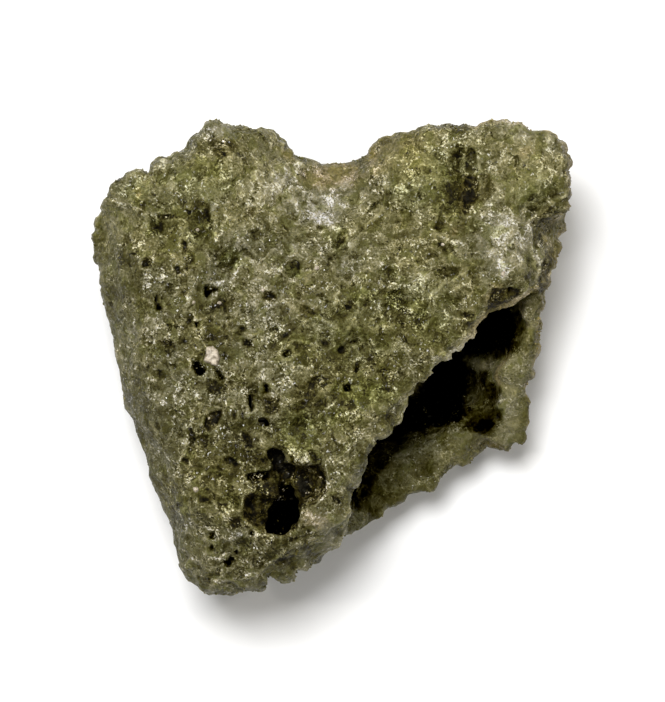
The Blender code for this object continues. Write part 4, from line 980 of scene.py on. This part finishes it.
# Inside the hollow and the holes the same glass is matt, with no specular layer and no coat, so the shade
# painted into its darkest places gives back no light at all.
black_shade_glass = fused_glass.copy()
black_shade_glass.name = "painted_shade_inner_glass"
black_shade_shader = next(n for n in black_shade_glass.node_tree.nodes if n.bl_idname == "ShaderNodeBsdfPrincipled")
black_shade_glass.node_tree.links.remove(black_shade_shader.inputs["Coat Weight"].links[0])
black_shade_shader.inputs["Coat Weight"].default_value = 0.0
black_shade_shader.inputs["Specular IOR Level"].default_value = 0.0
mesh.materials.append(black_shade_glass)
corners = np.empty(len(mesh.loops), np.int32)
mesh.loops.foreach_get("vertex_index", corners)
starts = np.empty(len(mesh.polygons), np.int32)
mesh.polygons.foreach_get("loop_start", starts)
mesh.polygons.foreach_set("material_index", (matt[corners[starts]] > 0.5).astype(np.int32))
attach(glass, "root")
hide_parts("trinitite")

# The sand grains in the skin

# Grains of desert sand, quartz and feldspar of a tenth of a millimetre or so, that stuck to the melt and
# did not dissolve. Each is a small angular lump half sunk in the skin, thickest on the sugary places, the
# edges and below.

GRAIN_COUNT = 7000
GRAIN_RADII = (0.035, 0.10)
chance = np.random.default_rng(45)
face_normal = read(mesh.polygons, "normal")
face_middle = read(mesh.polygons, "center") * TO_MM
face_area = read(mesh.polygons, "area", 1)
first = corners[starts]
bare = np.maximum.reduce([burst, holes, 0.9 * inner, ease(2.0 * step_painted_shadow, 0.2, 0.8)])[first]
likely = face_area * (1.0 - 0.95 * np.clip(bare, 0.0, 1.0))
likely *= 0.35 + 0.5 * grey[first] + 0.5 * pale[first] + 0.35 * (face_middle[:, 2] < 8.0)
likely *= 1.0 - 0.6 * ease(0.6 - np.abs(face_normal[:, 2]), 0.0, 0.3)
west_flank = ease(-face_normal[:, 0], 0.3, 0.6) * ease(face_middle[:, 2], 3.0, 5.0)
west_flank *= face_middle[:, 0] < -4.0
likely *= 1.0 - 0.85 * west_flank
seats = chance.choice(len(likely), GRAIN_COUNT, p=likely / likely.sum())
bpy.ops.object.select_all(action="DESELECT")
bpy.ops.mesh.primitive_ico_sphere_add(subdivisions=1, radius=1.0)
seed_grain = bpy.context.object
grain_corners = read(seed_grain.data.vertices, "co")
grain_faces = np.array([list(face.vertices) for face in seed_grain.data.polygons])
bpy.data.objects.remove(seed_grain)
radii = GRAIN_RADII[0] + (GRAIN_RADII[1] - GRAIN_RADII[0]) * chance.random(GRAIN_COUNT) ** 2.0
chipped = grain_corners[None] * (0.7 + 0.6 * chance.random((GRAIN_COUNT, len(grain_corners), 1)))
chipped *= radii[:, None, None] * (0.7 + 0.6 * chance.random((GRAIN_COUNT, 1, 3)))
centres = face_middle[seats] + 0.1 * radii[:, None] * face_normal[seats]
points = (chipped + centres[:, None]).reshape(-1, 3)
points[:, 2] = np.maximum(points[:, 2], 0.0)
first_corner = len(grain_corners) * np.arange(GRAIN_COUNT)[:, None, None]
faces = (grain_faces[None] + first_corner).reshape(-1, 3)
grain_mesh = bpy.data.meshes.new("sand_grains")
grain_mesh.from_pydata((points / TO_MM).tolist(), [], faces.tolist())
grains = new_thing("sand_grains", grain_mesh)
at = first[seats]
# Each grain takes the painted shade and light of the skin under it, is painted darker inside the hollow, and
# has a random tone.
painted_relief_shade_here = painted_relief_shade_and_tone[at] - 0.3 * (inner[at] > 0.3) + 0.5 * (chance.random(GRAIN_COUNT) - 0.5)
pale_here = pale[at] + 0.5 * chance.random(GRAIN_COUNT) ** 4
none = np.zeros(GRAIN_COUNT)
keep(
    grain_mesh,
    each=len(grain_corners),
    tone=(painted_relief_shade_here, dark[at], pale_here),
    hue=(tan[at], grey[at], green[at]),
    place=(matt[at], none, none),
)
grain_mesh.materials.append(fused_glass)
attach(grains, "root")

# The quartz grains

# A few coarse grains of quartz sand that stayed whole, milky and pale brown, each stuck in the skin by its
# lower half. The largest is near the west edge of the lid.

LARGEST_GRAIN = (
    (-6.93, 0.55), (-6.55, 0.6), (-6.27, 0.38), (-6.16, -0.05), (-6.33, -0.5), (-6.71, -0.38), (-7.1, -0.22),
    (-6.93, 0.16),
)
LARGEST_MIDDLE = (-6.6, 0.05)
LARGEST_RISE = 0.06  # for each millimetre to the right
LARGEST_LEVELS = ((-0.3, 1.0), (0.1, 1.0), (0.22, 0.8))  # height over the skin, and how far it spreads
QUARTZ_GRAINS = (  # middle, radius and height over the skin, in millimetres
    (-7.6, 3.0, 0.15, 0.05), (-7.4, 6.98, 0.14, 0.05), (-6.2, 2.97, 0.13, 0.05), (-0.83, 4.9, 0.17, 0.07),
    (-3.8, 3.69, 0.15, 0.05), (-7.5, -7.3, 0.22, 0.08), (6.1, 6.2, 0.13, 0.04), (9.4, 4.6, 0.2, 0.06),
)
quartz_parts = []


def skin_height(at_x, at_y):
    """How high the skin lies where it shows at one place, seen from above."""
    return spot[np.argmin(np.where(up > 0.3, np.hypot(seen_x - at_x, seen_y - at_y), np.inf)), 2]


mid_x, mid_y = LARGEST_MIDDLE
top = skin_height(mid_x, mid_y)
turns = len(LARGEST_GRAIN)
ring, sides = [], []
for high, spread in LARGEST_LEVELS:
    for at_x, at_y in LARGEST_GRAIN:
        u, v = (at_x - mid_x) * spread + mid_x, (at_y - mid_y) * spread + mid_y
        ring.append((u, v, top + high + LARGEST_RISE * (u - mid_x)))
for low in (0, turns):
    for i in range(turns):
        j = (i + 1) % turns
        sides.append((low + turns + i, low + turns + j, low + j, low + i))
slab = bpy.data.meshes.new("largest_grain")
slab.from_pydata(ring, [], [list(range(turns)), *sides, list(range(2 * turns, 3 * turns))[::-1]])
quartz_slab = new_thing("largest_grain", slab)
only(quartz_slab)
bpy.ops.object.mode_set(mode="EDIT")
bpy.ops.mesh.select_all(action="SELECT")
bpy.ops.mesh.normals_make_consistent(inside=False)
bpy.ops.object.mode_set(mode="OBJECT")
shape(quartz_slab, "REMESH", mode="VOXEL", voxel_size=0.035)
shape(quartz_slab, "SMOOTH", factor=0.5, iterations=3)
for size, strength in ((0.25, 0.10), (0.09, 0.04)):
    rough = {"texture": pattern("CLOUDS", size), "texture_coords": "LOCAL"}
    shape(quartz_slab, "DISPLACE", strength=strength, mid_level=0.5, **rough)
quartz_parts.append(quartz_slab)
for at_x, at_y, radius, high in QUARTZ_GRAINS:
    bpy.ops.object.select_all(action="DESELECT")
    place = (at_x, at_y, skin_height(at_x, at_y) + high - 0.4 * radius)
    bpy.ops.mesh.primitive_cube_add(size=1.6 * radius, location=place, rotation=(radius * 9, at_x, at_y))
    lump = bpy.context.object
    lump.scale = (1.0, 0.75, 0.8)
    bpy.ops.object.transform_apply(location=True, rotation=True, scale=True)
    shape(lump, "BEVEL", width=0.4 * radius, segments=1)
    shape(lump, "SUBSURF", levels=2, render_levels=2, subdivision_type="SIMPLE")
    for size, strength in ((0.8, 0.6), (0.3, 0.2)):
        rough = {"texture": pattern("CLOUDS", size * radius), "texture_coords": "LOCAL"}
        shape(lump, "DISPLACE", strength=strength * radius, mid_level=0.5, **rough)
    quartz_parts.append(lump)
bpy.ops.object.select_all(action="DESELECT")
for lump in quartz_parts:
    lump.select_set(True)
bpy.context.view_layer.objects.active = quartz_parts[0]
bpy.ops.object.join()
quartz = bpy.context.object
quartz.name = "quartz_grains"
quartz.data.transform(Matrix.Translation(quartz.location) @ quartz.rotation_euler.to_matrix().to_4x4())
quartz.location = quartz.rotation_euler = (0.0, 0.0, 0.0)
quartz.data.transform(Matrix.Scale(1.0 / TO_MM, 4))
bpy.ops.object.shade_smooth()

# Quartz frosted by the heat: whitish with a brown stain in its cracks, and a soft glow from light that
# enters it.
milky_quartz = bpy.data.materials.new("milky_quartz")
milky_quartz.use_nodes = True
tree = milky_quartz.node_tree
tree.nodes.clear()
in_mm = node(tree, "TexCoord", out="Object")
in_mm = node(tree, "VectorMath", in_mm, named={"Scale": TO_MM}, operation="SCALE")
stain = node(tree, "TexNoise", named={"Vector": in_mm, "Scale": 1 / 0.22, "Detail": 3.0, "Roughness": 0.65})
colour = node(tree, "ValToRGB", stain)
for stop, (at, code) in zip(colour.node.color_ramp.elements, ((0.35, "#6e6350"), (0.62, "#b9ae9a"))):
    stop.position = at
    stop.color = linear(code)
shader = node(
    tree,
    "BsdfPrincipled",
    named={
        "Base Color": colour,
        "Roughness": 0.5,
        "IOR": 1.54,
        "Normal": node(tree, "Bump", named={"Strength": 0.5, "Distance": 0.03 / TO_MM, "Height": stain}),
        "Subsurface Weight": 0.4,
        "Subsurface Radius": (1.0, 0.9, 0.8),
        "Subsurface Scale": 0.2 / TO_MM,
    },
)
node(tree, "OutputMaterial", named={"Surface": shader})
quartz.data.materials.append(milky_quartz)
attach(quartz, "root")

# The table, the light and the camera

# A white table lit by a soft overhead lamp a little north of the piece, with a plain pale dome around it
# and small lamps whose glints show in the grains. The camera looks straight down from 300 mm above the lid.

bpy.ops.mesh.primitive_plane_add(size=1.2, location=(0.0, 0.0, 0.0))
table = bpy.context.object
table.name = "table"
paper = bpy.data.materials.new("white_paper")
paper.use_nodes = True
matt_paper = paper.node_tree.nodes["Principled BSDF"].inputs
matt_paper["Base Color"].default_value = linear("#ebebeb")
matt_paper["Roughness"].default_value = 0.9
table.data.materials.append(paper)

world = bpy.data.worlds.new("pale_dome")
bpy.context.scene.world = world
world.use_nodes = True
world.node_tree.nodes["Background"].inputs["Color"].default_value = (1.0, 1.0, 1.0, 1.0)
world.node_tree.nodes["Background"].inputs["Strength"].default_value = 0.29

LIT_POINT = (0.0, 0.0, 0.006)
for name, size, power, at in (
    ("key_lamp", 0.14, 2.1, (-0.055, 0.115, 0.405)),
    ("glint_lamp_left", 0.02, 0.10, (-0.22, 0.02, 0.32)),
    ("glint_lamp_right", 0.03, 0.14, (0.20, 0.08, 0.34)),
    ("glint_lamp_near", 0.02, 0.08, (0.06, -0.16, 0.36)),
    ("glint_lamp_back", 0.02, 0.08, (0.04, 0.24, 0.24)),
):
    lamp_data = bpy.data.lights.new(name, "AREA")
    lamp_data.size = size
    lamp_data.energy = power
    lamp_data.color = (1.0, 1.0, 1.0) if name == "key_lamp" else (1.0, 0.95, 0.85)
    lamp = new_thing(name, lamp_data)
    lamp.location = at
    lamp.rotation_euler = (Vector(LIT_POINT) - Vector(at)).to_track_quat("-Z", "Y").to_euler()

PICTURE_ROWS = 702
MM_A_PIXEL = 0.055  # on the lid
PICTURE_MIDDLE = (0.0275e-3, 0.33e-3)
camera_over_lid = VIEW_FROM / TO_MM
lens = bpy.data.cameras.new("overhead_camera")
lens.sensor_fit = "VERTICAL"
lens.sensor_height = 36.0
lens.lens = lens.sensor_height * camera_over_lid / (PICTURE_ROWS * MM_A_PIXEL / TO_MM)
lens.clip_start = 0.01
camera = new_thing("overhead_camera", lens)
camera.location = (*PICTURE_MIDDLE, LID_HEIGHT / TO_MM + camera_over_lid)
bpy.context.scene.camera = camera
bpy.context.scene.view_settings.view_transform = "Standard"
